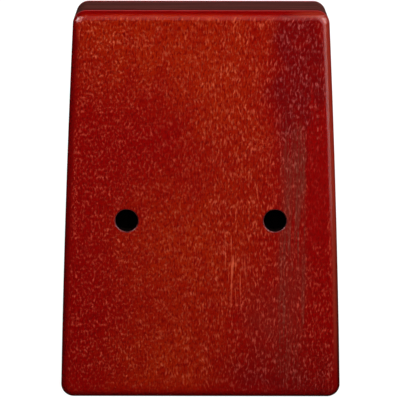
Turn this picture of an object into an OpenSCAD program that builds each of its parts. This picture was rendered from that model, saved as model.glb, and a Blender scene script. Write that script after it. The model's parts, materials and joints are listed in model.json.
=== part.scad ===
// Box kalimba with seventeen tines, standing on its tail end.
// +Z runs from the tail to the head, the back faces -Y and the tines stand on the +Y side.
// The origin is the centre of the tail end face. All sizes are in millimetres.

/* [Body] */
// Length of the body from tail end to head end
body_length = 185; // [150:1:225]
// Width of the body across the tail
tail_width = 132.5; // [110:0.5:160]
// Width of the body across the head
head_width = 117; // [100:0.5:146]
// Thickness of the body from back face to front face
body_thickness = 36; // [30:0.5:44]
// How far each long side bows out at mid length
side_bow = 0.6; // [0:0.1:2]
// Radius of the four corners, seen from the back
corner_radius = 6; // [4:0.5:9]
// Radius rounded over the outer edge of each board
edge_round = 3; // [1:0.25:3.5]

/* [Box] */
// Thickness of the back board
back_thickness = 4.5; // [3.75:0.25:6]
// Thickness of the soundboard
soundboard_thickness = 4.5; // [3.75:0.25:6]
// Thickness of the rim along the two long sides
side_wall = 9; // [7:0.5:11]
// Thickness of the rim at the head and the tail
end_wall = 10; // [7:0.5:14]
// Radius of the corners inside the rim
cavity_radius = 8; // [4:0.5:12]

/* [Sound holes] */
// Diameter of the two holes in the back board
back_hole_diameter = 10.5; // [7:0.5:16]
// Distance between the two back holes
back_hole_spacing = 69; // [50:1:84]
// Height of the back holes above the tail end
back_hole_height = 87; // [60:1:110]
// Diameter of the sound hole in the soundboard
sound_hole_diameter = 30; // [20:0.5:38]
// Height of the sound hole above the tail end
sound_hole_height = 58; // [45:1:75]
// Width of the chamfer round each hole's outer edge
hole_chamfer = 0.4; // [0.2:0.1:0.8]

/* [Tines] */
// Bare soundboard left outside the outermost tines' centres, at the head's width
row_margin = 12.1; // [9:0.05:14]
// Thickness of the spring steel
tine_thickness = 1; // [0.7:0.05:1.3]
// Gap between the tips of neighbouring tines
tip_gap = 1.4; // [0.8:0.1:2]
// Sounding length of the lowest tine, from the front rod to the tip
longest_tine = 60; // [48:1:72]
// Length of each tine behind the rear rod
tine_tail = 6; // [4:0.5:8]
// Angle at which the tines rise from the soundboard towards their tips
tine_rise = 3; // [1:0.5:5]
// Angle by which each tip curls up
tip_curl = 16; // [5:1:25]
// Inner radius of the curl
curl_radius = 22; // [12:1:30]
// Radius of the rounded tip, seen from the front
tip_radius = 2.7; // [2.5:0.1:4]
// Angle that a tine turns each way about the front rod when it is plucked
pluck_angle = 2; // [1:0.25:2.5]

/* [Bridge] */
// Height of the tines above the soundboard at the front rod
bridge_height = 10; // [8:0.5:13]
// Distance of the front rod from the head end
front_rod_setback = 47; // [40:1:56]
// Distance between the two rods
rod_spacing = 16; // [15:0.5:20]
// Diameter of the two rods
rod_diameter = 3; // [2.4:0.1:3.6]
// Diameter of the pressure bar before its flat is cut
bar_diameter = 6.5; // [6:0.1:8]
// Height of the bar's flat above its centre
bar_flat = 1.8; // [1.2:0.1:2.2]
// Length of the rods and the bar beyond the outermost tines' centres
rod_overhang = 5; // [3.5:0.5:6]
// Length of the saddle beyond the ends of the rods
saddle_end = 2; // [1:0.5:2.5]
// Flat lip of the saddle outside each rod
saddle_lip = 3.5; // [2.5:0.5:5]
// Spread of the saddle's sloping faces from top to base
saddle_flare = 3; // [1:0.5:4]
// Depth of the hollow in the saddle under the bar
scoop_depth = 2.5; // [1.5:0.25:3]
// Radius of that hollow
scoop_radius = 7; // [6:0.5:9]

/* [Screws and brace] */
// Thread diameter of the clamp screws
screw_diameter = 2.5; // [2:0.1:3]
// Diameter of the screw heads
screw_head_diameter = 4.5; // [4:0.1:5.4]
// Height of the screw heads
screw_head_height = 2.5; // [2:0.1:3]
// Width of the hexagon socket across its flats
socket_width = 2; // [1.5:0.1:2.4]
// Depth of the hexagon socket
socket_depth = 1.3; // [1:0.1:1.6]
// Outer diameter of the threaded inserts
insert_diameter = 5; // [4.2:0.1:6]
// Length of the threaded inserts
insert_length = 8; // [6:0.5:8.5]
// Length of screw that is held in its insert
screw_grip = 6; // [4:0.5:6]
// Depth of the brace, from the soundboard into the box
brace_depth = 10; // [9:0.5:12]
// Width of the brace along the length of the body
brace_width = 16; // [12:0.5:20]
// Bevel along the brace's inner edges
brace_bevel = 2.5; // [1:0.25:4]

/* [Fits] */
// Gap between a tine and the front rod
running_gap = 0.05; // [0.03:0.01:0.1]
// Gap round a screw where it passes between two tines
tine_side_gap = 0.25; // [0.2:0.05:0.4]
// Gap round a screw in a drilled hole
screw_gap = 0.2; // [0.1:0.05:0.3]
// Gap round a piece that is glued or screwed into its seat
seat_gap = 0.02; // [0.01:0.01:0.05]
// Gap between the brace and the rim at each end
brace_gap = 0.4; // [0.3:0.1:1]
// Chamfer on the ends of rods, bar and screws
end_chamfer = 0.4; // [0.2:0.1:0.5]

/* [Hidden] */
$fn = 64;
HULL_FACETS = 32;
ROUND_STEPS = 6;
SIDE_STEPS = 4;
OVERCUT = 1;

// Faces of the box along the thickness
back_y = -body_thickness / 2;
front_y = body_thickness / 2;
rim_back_y = back_y + back_thickness;
rim_front_y = front_y - soundboard_thickness;

// The row of tines: the major scale climbs outwards from the middle, left and right by turns
TINE_COUNT = 17;
LETTERS = ["c", "d", "e", "f", "g", "a", "b"];
SCALE = [0, 2, 4, 5, 7, 9, 11];
LOWEST_OCTAVE = 4;
NOTES_PER_OCTAVE = len(SCALE);
tine_pitch = (head_width - 2 * row_margin) / (TINE_COUNT - 1);
shank_width = tine_pitch - screw_diameter - 2 * tine_side_gap;
tip_width = tine_pitch - tip_gap;
half_row = (TINE_COUNT - 1) / 2 * tine_pitch;

function octave(k) = floor(k / NOTES_PER_OCTAVE);
function tine_name(k) = str("tine_", LETTERS[k % NOTES_PER_OCTAVE], LOWEST_OCTAVE + octave(k));
function semitones(k) = SCALE[k % NOTES_PER_OCTAVE] + 12 * octave(k);
function tine_x(k) = (k % 2 == 1 ? (k + 1) / 2 : -k / 2) * tine_pitch;
function tine_length(k) = longest_tine * pow(2, -semitones(k) / 24);

// The bridge: a tilted frame at the front rod, with the tines along its -Z and its +Y away from the box
front_rod_z = body_length - front_rod_setback;
contact_y = front_y + bridge_height;
bar_offset = rod_spacing / 2;
bar_gap = bar_offset * sin(pluck_angle) + running_gap;
rear_gap = rod_spacing * sin(pluck_angle) + running_gap;

function bridge_point(y, z) = [
    contact_y + y * cos(tine_rise) - z * sin(tine_rise),
    front_rod_z + y * sin(tine_rise) + z * cos(tine_rise)
];

front_rod = bridge_point(-running_gap - rod_diameter / 2, 0);
rear_rod = bridge_point(-rear_gap - rod_diameter / 2, rod_spacing);
bar = bridge_point(tine_thickness + bar_gap + bar_diameter / 2, bar_offset);
bar_top_y = bar[0] + bar_flat;
rod_length = 2 * (half_row + rod_overhang);

// The saddle's top runs through the centres of the rods
saddle_length = rod_length + 2 * saddle_end;
groove_length = rod_length + 2 * seat_gap;
groove_diameter = rod_diameter + 2 * seat_gap;
saddle_slope = (rear_rod[0] - front_rod[0]) / (rear_rod[1] - front_rod[1]);
saddle_front_z = front_rod[1] - rod_diameter / 2 - saddle_lip;
saddle_rear_z = rear_rod[1] + rod_diameter / 2 + saddle_lip;

function saddle_top(z) = front_rod[0] + (z - front_rod[1]) * saddle_slope;

// Screws stand on the bar's line, spaced evenly between the tines
SCREW_STEP = 5;
SCREW_PLACES = [-1.5, -0.5, 0.5, 1.5];
screw_z = bar[1];
screw_tip_y = rim_front_y - screw_grip;
insert_end_y = rim_front_y - insert_length;
screw_xs = [for (place = SCREW_PLACES) place * SCREW_STEP * tine_pitch];

// Half width of the body at a height, with the bow of its sides
function side_x(z) =
    let (share = (z - corner_radius) / (body_length - 2 * corner_radius))
    tail_width / 2 + (head_width - tail_width) / 2 * share + side_bow * (1 - pow(2 * share - 1, 2));

// Centres of the rounds that the body's outline wraps, moved in from its sides and ends
function outline_centres(side_inset, end_inset, radius) = [
    for (side = [-1, 1], step = [0 : SIDE_STEPS])
        let (z = end_inset + radius + step / SIDE_STEPS * (body_length - 2 * (end_inset + radius)))
        [side * (side_x(z) - side_inset - radius), z]
];

// Lays a drawing in X and Z, and gives it a thickness towards +Y
module stand_up(y, thickness) {
    translate([0, y + thickness, 0])
        rotate([90, 0, 0])
            linear_extrude(thickness)
                children();
}

// Lays a drawing in Y and Z, and gives it a length along X
module along_x(length) {
    rotate([90, 0, 90])
        linear_extrude(length, center = true)
            children();
}

// A round hole along Y, inwards from the origin, its outer edge chamfered; outward is -1 or 1 along Y
module sound_hole(diameter, depth, outward) {
    radius = diameter / 2;
    rotate([outward * 90, 0, 0]) {
        translate([0, 0, -OVERCUT])
            cylinder(h = depth + 2 * OVERCUT, r = radius);
        translate([0, 0, -hole_chamfer])
            cylinder(h = 2 * hole_chamfer, r1 = radius + 2 * hole_chamfer, r2 = radius);
    }
}

module body_outline(side_inset, end_inset, radius) {
    hull()
        for (centre = outline_centres(side_inset, end_inset, radius))
            translate(centre)
                circle(radius, $fn = HULL_FACETS);
}

// A board of the body's outline on the XZ plane, its outer edge rounded over; outward is -1 or 1 along Y
module rounded_board(thickness, outward) {
    round_over = min(edge_round, thickness);
    flat_edge = thickness - round_over;
    profile = concat(
        [[0, thickness], [0, 0], [corner_radius, 0]],
        [for (step = [0 : ROUND_STEPS])
            let (turn = 90 * step / ROUND_STEPS)
            [corner_radius - round_over * (1 - cos(turn)), flat_edge + round_over * sin(turn)]]
    );
    hull()
        for (centre = outline_centres(0, 0, corner_radius))
            translate([centre[0], 0, centre[1]])
                rotate([-outward * 90, 0, 0])
                    rotate_extrude($fn = HULL_FACETS)
                        polygon(profile);
}

// A rod along X with chamfered ends
module chamfered_rod(diameter, length) {
    radius = diameter / 2;
    rotate([0, 90, 0])
        rotate_extrude()
            polygon([
                [0, -length / 2], [radius - end_chamfer, -length / 2], [radius, -length / 2 + end_chamfer],
                [radius, length / 2 - end_chamfer], [radius - end_chamfer, length / 2], [0, length / 2]
            ]);
}

// A hole along Y for each screw, from one y to another
module screw_holes(diameter, from_y, to_y) {
    for (x = screw_xs)
        translate([x, from_y, screw_z])
            rotate([-90, 0, 0])
                cylinder(h = to_y - from_y, d = diameter);
}

module back_board() {
    color("firebrick")
        difference() {
            translate([0, rim_back_y, 0])
                rounded_board(back_thickness, -1);
            for (side = [-1, 1])
                translate([side * back_hole_spacing / 2, back_y, back_hole_height])
                    sound_hole(back_hole_diameter, back_thickness, -1);
        }
}

module rim_frame() {
    color("saddlebrown")
        difference() {
            stand_up(rim_back_y, rim_front_y - rim_back_y)
                body_outline(0, 0, corner_radius);
            stand_up(rim_back_y - OVERCUT, rim_front_y - rim_back_y + 2 * OVERCUT)
                body_outline(side_wall, end_wall, cavity_radius);
        }
}

module soundboard() {
    color("firebrick")
        difference() {
            translate([0, rim_front_y, 0])
                rounded_board(soundboard_thickness, 1);
            translate([0, front_y, sound_hole_height])
                sound_hole(sound_hole_diameter, soundboard_thickness, 1);
            screw_holes(screw_diameter + 2 * screw_gap, rim_front_y - OVERCUT, front_y + OVERCUT);
        }
}

// A block with four sloping faces, two rod grooves and a hollow between them
module saddle_block() {
    top_y = saddle_top(saddle_front_z);
    top_x = saddle_length / 2;
    base_x = top_x + saddle_flare;
    color("sienna")
        difference() {
            intersection() {
                along_x(2 * base_x)
                    polygon([
                        [front_y, saddle_front_z - saddle_flare], [top_y, saddle_front_z],
                        [saddle_top(saddle_rear_z), saddle_rear_z], [front_y, saddle_rear_z + saddle_flare]
                    ]);
                linear_extrude(body_length)
                    polygon([[-base_x, front_y], [base_x, front_y], [top_x, top_y], [-top_x, top_y]]);
            }
            for (rod = [front_rod, rear_rod])
                translate([0, rod[0], rod[1]])
                    rotate([0, 90, 0])
                        cylinder(h = groove_length, d = groove_diameter, center = true);
            translate([0, saddle_top(screw_z) + scoop_radius - scoop_depth, screw_z])
                rotate([0, 90, 0])
                    cylinder(h = rod_length, r = scoop_radius, center = true);
            screw_holes(screw_diameter + 2 * screw_gap, front_y - OVERCUT, contact_y);
        }
}

module front_bridge_rod() {
    color("silver")
        translate([0, front_rod[0], front_rod[1]])
            chamfered_rod(rod_diameter, rod_length);
}

module rear_bridge_rod() {
    color("silver")
        translate([0, rear_rod[0], rear_rod[1]])
            chamfered_rod(rod_diameter, rod_length);
}

// A round bar with a flat along its top, drilled for the screws
module pressure_bar() {
    color("gainsboro")
        difference() {
            translate([0, bar[0], bar[1]])
                chamfered_rod(bar_diameter, rod_length);
            translate([0, bar_top_y + bar_diameter / 2, bar[1]])
                cube([rod_length + 2 * OVERCUT, bar_diameter, 2 * bar_diameter], center = true);
            screw_holes(screw_diameter + 2 * screw_gap, bar[0] - bar_diameter, bar_top_y + OVERCUT);
        }
}

// One socket screw along Y, its head's underside on the XZ plane
module clamp_screw(length) {
    head_radius = screw_head_diameter / 2;
    thread_radius = screw_diameter / 2;
    rotate([-90, 0, 0])
        difference() {
            rotate_extrude()
                polygon([
                    [0, -length], [thread_radius - end_chamfer, -length],
                    [thread_radius, -length + end_chamfer], [thread_radius, 0],
                    [head_radius, 0], [head_radius, screw_head_height - end_chamfer],
                    [head_radius - end_chamfer, screw_head_height], [0, screw_head_height]
                ]);
            translate([0, 0, screw_head_height - socket_depth])
                cylinder(h = socket_depth + OVERCUT, d = socket_width / cos(30), $fn = 6);
        }
}

module clamp_screws() {
    color("gray")
        for (x = screw_xs)
            translate([x, bar_top_y, screw_z])
                clamp_screw(bar_top_y - screw_tip_y);
}

// A strip under the soundboard, bevelled towards the inside of the box, bored for the inserts
module bridge_brace() {
    top_z = screw_z + brace_width / 2;
    bottom_z = screw_z - brace_width / 2;
    inner_y = rim_front_y - brace_depth;
    length = 2 * (min(side_x(top_z), side_x(bottom_z)) - side_wall - brace_gap);
    color("burlywood")
        difference() {
            along_x(length)
                polygon([
                    [rim_front_y, bottom_z], [rim_front_y, top_z],
                    [inner_y + brace_bevel, top_z], [inner_y, top_z - brace_bevel],
                    [inner_y, bottom_z + brace_bevel], [inner_y + brace_bevel, bottom_z]
                ]);
            screw_holes(insert_diameter + 2 * seat_gap, insert_end_y, rim_front_y + OVERCUT);
        }
}

module threaded_inserts() {
    color("goldenrod")
        difference() {
            screw_holes(insert_diameter, insert_end_y, rim_front_y);
            screw_holes(screw_diameter + 2 * seat_gap, insert_end_y - OVERCUT, rim_front_y + OVERCUT);
        }
}

// Side view of a tine in Y and Z: a straight strip that curls up at the tip
module tine_side(length) {
    outer = curl_radius + tine_thickness;
    straight = length - outer * sin(tip_curl);
    translate([0, -straight])
        square([tine_thickness, straight + rod_spacing + tine_tail]);
    translate([outer, -straight])
        intersection() {
            difference() {
                circle(outer);
                circle(curl_radius);
            }
            polygon([[0, 0], [-2 * outer, 0], [-2 * outer * cos(tip_curl), -2 * outer * sin(tip_curl)]]);
        }
}

// Plan of a tine in X and Z: a parallel shank, a blade that widens and a rounded tip
module tine_plan(length) {
    tail_end = rod_spacing + tine_tail;
    intersection() {
        polygon([
            [-shank_width / 2, tail_end], [-shank_width / 2, 0], [-tip_width / 2, -length],
            [tip_width / 2, -length], [shank_width / 2, 0], [shank_width / 2, tail_end]
        ]);
        union() {
            translate([-tine_pitch / 2, tip_radius - length])
                square([tine_pitch, length - tip_radius + tail_end]);
            translate([0, tip_radius - length])
                circle(tip_radius);
        }
    }
}

module tine(k) {
    length = tine_length(k);
    height = 2 * (curl_radius + tine_thickness);
    color("lightsteelblue")
        translate([tine_x(k), contact_y, front_rod_z])
            rotate([tine_rise, 0, 0])
                intersection() {
                    along_x(tine_pitch)
                        tine_side(length);
                    stand_up(-height / 2, height)
                        tine_plan(length);
                }
}

back_board();
rim_frame();
soundboard();
saddle_block();
front_bridge_rod();
rear_bridge_rod();
pressure_bar();
clamp_screws();
bridge_brace();
threaded_inserts();
for (k = [0 : TINE_COUNT - 1]) {
    tine(k);
}
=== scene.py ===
"""Looks of a box kalimba: stained boards on a dark rim, a clamped row of spring tines, and a small studio.

The kalimba stands on its tail end, with its back towards -Y and its tines on the +Y side. Sizes are in
metres, and a finish gives the sizes of its grain in millimetres.
"""
import json
import logging
import math
from collections.abc import Mapping, Sequence
from dataclasses import dataclass, field, replace
from enum import Enum
from functools import reduce

import bmesh
import bpy
from mathutils import Euler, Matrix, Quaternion, Vector


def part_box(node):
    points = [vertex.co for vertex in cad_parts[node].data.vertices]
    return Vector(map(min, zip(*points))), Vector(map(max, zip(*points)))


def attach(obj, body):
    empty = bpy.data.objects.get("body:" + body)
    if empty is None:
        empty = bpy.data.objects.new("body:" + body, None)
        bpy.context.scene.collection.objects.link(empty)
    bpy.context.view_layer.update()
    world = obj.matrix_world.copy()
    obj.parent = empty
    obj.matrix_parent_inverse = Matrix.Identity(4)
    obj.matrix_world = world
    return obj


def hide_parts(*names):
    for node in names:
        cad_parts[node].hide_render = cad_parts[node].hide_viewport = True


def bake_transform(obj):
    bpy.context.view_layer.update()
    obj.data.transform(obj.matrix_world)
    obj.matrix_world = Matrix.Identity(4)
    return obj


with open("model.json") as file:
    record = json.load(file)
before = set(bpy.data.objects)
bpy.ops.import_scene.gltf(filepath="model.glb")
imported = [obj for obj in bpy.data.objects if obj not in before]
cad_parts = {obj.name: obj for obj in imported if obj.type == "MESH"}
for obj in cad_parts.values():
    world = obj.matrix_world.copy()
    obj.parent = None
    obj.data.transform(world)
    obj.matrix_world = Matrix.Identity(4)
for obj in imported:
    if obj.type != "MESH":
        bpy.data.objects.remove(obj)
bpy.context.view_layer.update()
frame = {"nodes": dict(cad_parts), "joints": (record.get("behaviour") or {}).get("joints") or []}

BOX_BODY = "box"
MM = 0.001
PER_MM = 1000.0
WELD = 1e-6
QUARTER = math.pi / 2
WHITE = (1.0, 1.0, 1.0)
# Angle from which an edge stays sharp, and how much large faces count in the shading.
CREASE = math.radians(32)
FLAT_WEIGHT = 100
# A face that looks more along the box than across it belongs to an end of the rim.
MITRE = math.cos(math.radians(45))
# Steps round a cutter, and over an eased edge.
CUTTER_STEPS = 96
EASE_STEPS = 4
# The screws stand five tines apart.
SCREW_COUNT = 4
TINES_PER_SCREW = 5
# Depths of the back's face and of its joint with the rim, in millimetres from the middle of the box.
FACE_DEPTH = -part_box("back_board")[0].y * PER_MM
SEAM_DEPTH = -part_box("rim_frame")[0].y * PER_MM
# Slant of the grain that is carried over an edge.
EDGE_SLANT = 0.7
# Most of a noise lies between the low and the high value.
NOISE_LOW = 0.3
NOISE_MEAN = 0.5
NOISE_HIGH = 0.7
# Shares of a fleck's radius and of a stripe's half height where its mask is full.
FLECK_CORE = 0.25
STRIPE_CORE = 0.7

log = logging.getLogger("kalimba")

# A feed is a socket, or a plain value for one.
Feed = object
Key = str | int
Inputs = Mapping[Key, Feed]
Socket = bpy.types.NodeSocket
Piece = bpy.types.Object
Ring = list[bmesh.types.BMVert]
Colour = tuple[float, float, float]
Point = tuple[float, float, float]
Flat = tuple[float, float]


class Axis(Enum):
    """A direction of the box: across it, through its thickness, or along its length."""

    ACROSS = 0
    THROUGH = 1
    ALONG = 2


class BoardSide(Enum):
    """The face of the box that a board closes, as the sign of its outward direction along Y."""

    BACK = -1
    FRONT = 1


class LampUse(Enum):
    """What a lamp serves: every surface, only reflections in polished ones, or only matt ones."""

    FULL = "full"
    GLOSS = "gloss"
    MATT = "matt"


class WallSlot(Enum):
    """Material slots of a board."""

    OUTSIDE = 0
    INSIDE = 1
    BORE = 2
    LIP = 3


class RimSlot(Enum):
    """Material slots of the rim, whose grain turns at the corners."""

    SIDES = 0
    INSIDE = 1
    ENDS = 2


class Change(Enum):
    """How a carried number goes from one end of its span to the other."""

    SOFT = "SMOOTHSTEP"
    EVEN = "LINEAR"


@dataclass(frozen=True)
class Ramp:
    """A soft change of a number.

    While it goes from low to high, or down to high, the result goes from start to end.
    """

    low: float
    high: float
    start: float = 0.0
    end: float = 1.0


Ramps = tuple[Ramp, ...]


@dataclass(frozen=True)
class Grain:
    """A pattern of noise, with the sizes of its features across and along the grain in millimetres.

    Patterns with different shifts don't coincide.
    """

    across: float
    along: float
    detail: float = 2.0
    shift: float = 0.0
    roughness: float = 0.5

    def moved(self, shift: float) -> "Grain":
        """Gives the same pattern, shifted farther."""
        return replace(self, shift=self.shift + shift)


@dataclass(frozen=True)
class Patch:
    """A patch of a board, with its middle and half sizes in millimetres.

    Its mask is full within the core, which is a share of the half sizes.
    """

    x: float
    z: float
    half_width: float
    half_height: float
    strength: float
    core: float = field(default=0.0, kw_only=True)


def rgba(colour: Feed) -> Feed:
    """Gives a plain colour its full opacity, and passes a socket on."""
    return (*colour, 1.0) if isinstance(colour, tuple) else colour


def middle(node: str) -> Vector:
    """Gives the centre of a node's box."""
    low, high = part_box(node)
    return (low + high) / 2


class NodeGraph:
    """A node tree that is filled step by step, so that a finish or a rule reads as a list of steps."""

    def __init__(self, tree: bpy.types.NodeTree) -> None:
        """Takes the tree that the steps go into."""
        self.tree = tree

    def add(self, kind: str, inputs: Inputs | None = None, **settings: object) -> bpy.types.Node:
        """Adds one node.

        Args:
            kind: Type name of the node.
            inputs: Plain values or feeding sockets, by the input's name or number.
            settings: Properties of the node itself.

        Returns:
            The new node.
        """
        node = self.tree.nodes.new(kind)
        for name, value in settings.items():
            setattr(node, name, value)
        for key, value in (inputs or {}).items():
            self.feed(self.pick(node.inputs, key), value)
        return node

    @staticmethod
    def pick(sockets: Sequence[Socket], key: Key) -> Socket:
        """Finds a socket.

        Args:
            sockets: The inputs or outputs of a node.
            key: The socket's number, or its name among those in use.

        Returns:
            The socket.
        """
        if isinstance(key, int):
            return sockets[key]
        return next(socket for socket in sockets if socket.name == key and socket.enabled)

    def feed(self, socket: Socket, value: Feed) -> None:
        """Links or sets a socket.

        Args:
            socket: The input of a node.
            value: The socket that feeds it, or its plain value.
        """
        if isinstance(value, Socket):
            self.tree.links.new(value, socket)
        else:
            socket.default_value = value

    def result(self, kind: str, inputs: Inputs | None = None, name: Key = 0, **settings: object) -> Socket:
        """Adds a node and returns one of its outputs, by name or number."""
        return self.pick(self.add(kind, inputs, **settings).outputs, name)

    def math(self, operation: str, *values: Feed) -> Socket:
        """Adds a sum or function of numbers."""
        return self.result("ShaderNodeMath", dict(enumerate(values)), operation=operation)

    def product(self, *values: Feed) -> Socket:
        """Multiplies numbers, from the first to the last."""
        return reduce(lambda total, value: self.math("MULTIPLY", total, value), values)

    def vector(self, operation: str, *values: Feed) -> Socket:
        """Adds a sum or product of vectors."""
        return self.result("ShaderNodeVectorMath", dict(enumerate(values)), operation=operation)

    def split(self, vector: Feed) -> list[Socket]:
        """Gives the three numbers of a vector."""
        return list(self.add("ShaderNodeSeparateXYZ", {0: vector}).outputs)

    def join(self, x: Feed, y: Feed, z: Feed) -> Socket:
        """Makes a vector of three numbers."""
        return self.result("ShaderNodeCombineXYZ", {0: x, 1: y, 2: z})

    def span(self, value: Feed, low: Feed, high: Feed, start: Feed = 0.0, end: Feed = 1.0,
             change: Change = Change.SOFT) -> Socket:
        """Carries a number from one span to another.

        Args:
            value: The number.
            low: Where the change begins; it may be above high.
            high: Where the change ends.
            start: Result before the change.
            end: Result after it.
            change: How the result goes from start to end.

        Returns:
            The carried number, which never leaves the new span.
        """
        inputs = {"Value": value, "From Min": low, "From Max": high, "To Min": start, "To Max": end}
        return self.result("ShaderNodeMapRange", inputs, interpolation_type=change.value)

    def ramp(self, value: Feed, ramp: Ramp) -> Socket:
        """Carries a number along a ramp."""
        return self.span(value, ramp.low, ramp.high, ramp.start, ramp.end)

    def band(self, ramps: Ramps, *values: Feed) -> Socket:
        """Multiplies ramps, one for each number, into a mask."""
        return self.product(*map(self.ramp, values, ramps))

    def mix(self, factor: Feed, base: Feed, other: Feed) -> Socket:
        """Mixes two colours."""
        inputs = {"Factor": factor, "A": rgba(base), "B": rgba(other)}
        return self.result("ShaderNodeMix", inputs, "Result", data_type="RGBA")


class ShaderGraph(NodeGraph):
    """The shader of one material, painted on Object coordinates in millimetres."""

    def __init__(self, material: bpy.types.Material) -> None:
        """Finds the main shader and the place on the piece.

        Args:
            material: The material, with its nodes in use.
        """
        super().__init__(material.node_tree)
        self.shader = self.tree.nodes["Principled BSDF"]
        place = self.result("ShaderNodeTexCoord", name="Object")
        self.place = self.vector("MULTIPLY", place, (PER_MM,) * 3)

    def set(self, **values: Feed) -> None:
        """Sets or feeds the main shader's sockets, whose names are given with underscores."""
        for name, value in values.items():
            self.feed(self.shader.inputs[name.replace("_", " ")], value)

    def noise(self, vector: Feed, grain: Grain, name: Key = 0) -> Socket:
        """Adds cloudy noise with features about one unit wide."""
        inputs = {"Vector": vector, "Scale": 1.0, "Detail": grain.detail, "Roughness": grain.roughness}
        return self.result("ShaderNodeTexNoise", inputs, name)

    def stretch(self, axis: Axis, grain: Grain) -> Socket:
        """Gives the place in units of a grain.

        Args:
            axis: Direction of the grain.
            grain: The grain.

        Returns:
            A vector for a texture.
        """
        sizes = [1 / grain.across] * 3
        sizes[axis.value] = 1 / grain.along
        return self.vector("MULTIPLY_ADD", self.place, tuple(sizes), (grain.shift,) * 3)

    def axis_noise(self, axis: Axis, grain: Grain) -> Socket:
        """Adds noise in a grain along an axis."""
        return self.noise(self.stretch(axis, grain), grain)

    def on_board(self) -> Socket:
        """Finds the flat place on a board.

        Returns:
            The place in millimetres, carried on from the face over the edges.
        """
        x, y, z = self.split(self.place)
        inward = self.math("SUBTRACT", self.math("ABSOLUTE", y), FACE_DEPTH)
        along = self.math("MULTIPLY_ADD", inward, EDGE_SLANT, z)
        return self.join(self.math("ADD", x, inward), along, 0.0)

    def board_noise(self, board: Feed, grain: Grain, name: Key = 0) -> Socket:
        """Adds noise in a grain along a flat place."""
        sizes = (1 / grain.across, 1 / grain.along, 0.0)
        return self.noise(self.vector("MULTIPLY_ADD", board, sizes, (grain.shift,) * 3), grain, name)

    def drift(self, board: Feed, grain: Grain, reach: float) -> Socket:
        """Moves a flat place about, so that what is drawn there wanders.

        Args:
            board: The flat place, in millimetres.
            grain: Pattern of the drift.
            reach: Farthest drift.

        Returns:
            The moved place.
        """
        cloud = self.board_noise(board, grain, "Color")
        drift = self.vector("MULTIPLY_ADD", cloud, (2 * reach, 2 * reach, 0.0), (-reach, -reach, 0.0))
        return self.vector("ADD", board, drift)

    def flecks(self, vector: Feed, share: float, reach: float) -> Socket:
        """Adds soft grains scattered one to a unit.

        Args:
            vector: Place in units of the grain.
            share: Part of the units that hold a fleck.
            reach: Radius of a fleck, in units.

        Returns:
            A mask that is 1 in the middle of a strong fleck.
        """
        cells = self.add("ShaderNodeTexVoronoi", {"Vector": vector, "Scale": 1.0})
        luck = self.split(cells.outputs["Color"])[0]
        chosen = self.span(luck, 1 - share, 1.0)
        return self.product(chosen, self.span(cells.outputs["Distance"], reach, FLECK_CORE * reach))

    def ellipse(self, board: Feed, patch: Patch) -> Socket:
        """Adds a soft oval mask.

        Args:
            board: The flat place, in millimetres.
            patch: Place, half sizes and core of the oval.

        Returns:
            A mask that is 1 in the core and 0 outside the oval.
        """
        away = self.vector("SUBTRACT", board, (patch.x, patch.z, 0.0))
        away = self.vector("MULTIPLY", away, (1 / patch.half_width, 1 / patch.half_height, 0.0))
        distance = self.result("ShaderNodeVectorMath", {0: away}, "Value", operation="LENGTH")
        return self.span(distance, 1.0, patch.core)

    def stripe(self, board: Feed, patch: Patch) -> Socket:
        """Adds a mask in the shape of a stripe with square ends.

        Args:
            board: The flat place, in millimetres.
            patch: Place, half sizes and core of the stripe.

        Returns:
            A mask that is 1 along the core and 0 outside the stripe.
        """
        away = self.vector("ABSOLUTE", self.vector("SUBTRACT", board, (patch.x, patch.z, 0.0)))
        across, along, _ = self.split(away)
        across = self.span(across, patch.half_width, patch.core * patch.half_width)
        return self.product(across, self.span(along, patch.half_height, STRIPE_CORE * patch.half_height))

    def shade(self, colour: Feed, factor: Feed) -> Socket:
        """Makes a colour lighter or darker by a factor."""
        return self.vector("MULTIPLY", colour, factor)

    def bump(self, height: Feed, depth: float, strength: float) -> None:
        """Feeds the shader's normal from a height, whose full range is a depth in metres."""
        inputs = {"Height": height, "Distance": depth, "Strength": strength}
        self.set(Normal=self.result("ShaderNodeBump", inputs))


@dataclass(frozen=True)
class Finish:
    """A surface finish that makes its own material."""

    name: str

    def material(self) -> bpy.types.Material:
        """Finds the finish's material, which is made on first use.

        Returns:
            The material.
        """
        found = bpy.data.materials.get(self.name)
        if found is None:
            found = bpy.data.materials.new(self.name)
            found.use_nodes = True
            self.paint(ShaderGraph(found))
        return found

    def paint(self, graph: ShaderGraph) -> None:
        """Fills the material's shader."""
        raise NotImplementedError


@dataclass(frozen=True)
class Tone:
    """A tone of stained wood: the ground between its pores, and the painted glints on their edges."""

    ground: Colour
    glint: Colour


# The glint of each tone is a painted highlight, which is mixed into the base colour.
DEEP_RED = Tone((0.165, 0.0003, 0.0002), (0.38, 0.036, 0.02))
WARM_RED = Tone((0.22, 0.0075, 0.0005), (0.46, 0.072, 0.028))
CLEAR_RED = Tone((0.168, 0.0003, 0.0003), (0.24, 0.009, 0.007))
CRIMSON_SHADE = Tone((0.105, 0.0004, 0.001), (0.3, 0.045, 0.04))
GREY_SHADE = Tone((0.12, 0.013, 0.008), (0.24, 0.05, 0.034))
BROWN_SHADE = Tone((0.115, 0.0012, 0.0008), (0.3, 0.04, 0.028))
EDGE_SHADE = Tone((0.135, 0.0003, 0.0004), (0.2, 0.006, 0.006))


@dataclass(frozen=True)
class Bloom(Patch):
    """A soft patch where the stain took another tone.

    A patch with some raggedness is a stripe along the grain, broken by streaks to that share.
    """

    tone: Tone
    raggedness: float = 0.0


@dataclass(frozen=True)
class GlintPatch(Patch):
    """A patch of extra painted glints on the pores, with the size of its pores in millimetres."""

    pore_width: float
    pore_length: float
    core: float = field(default=0.3, kw_only=True)


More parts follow.
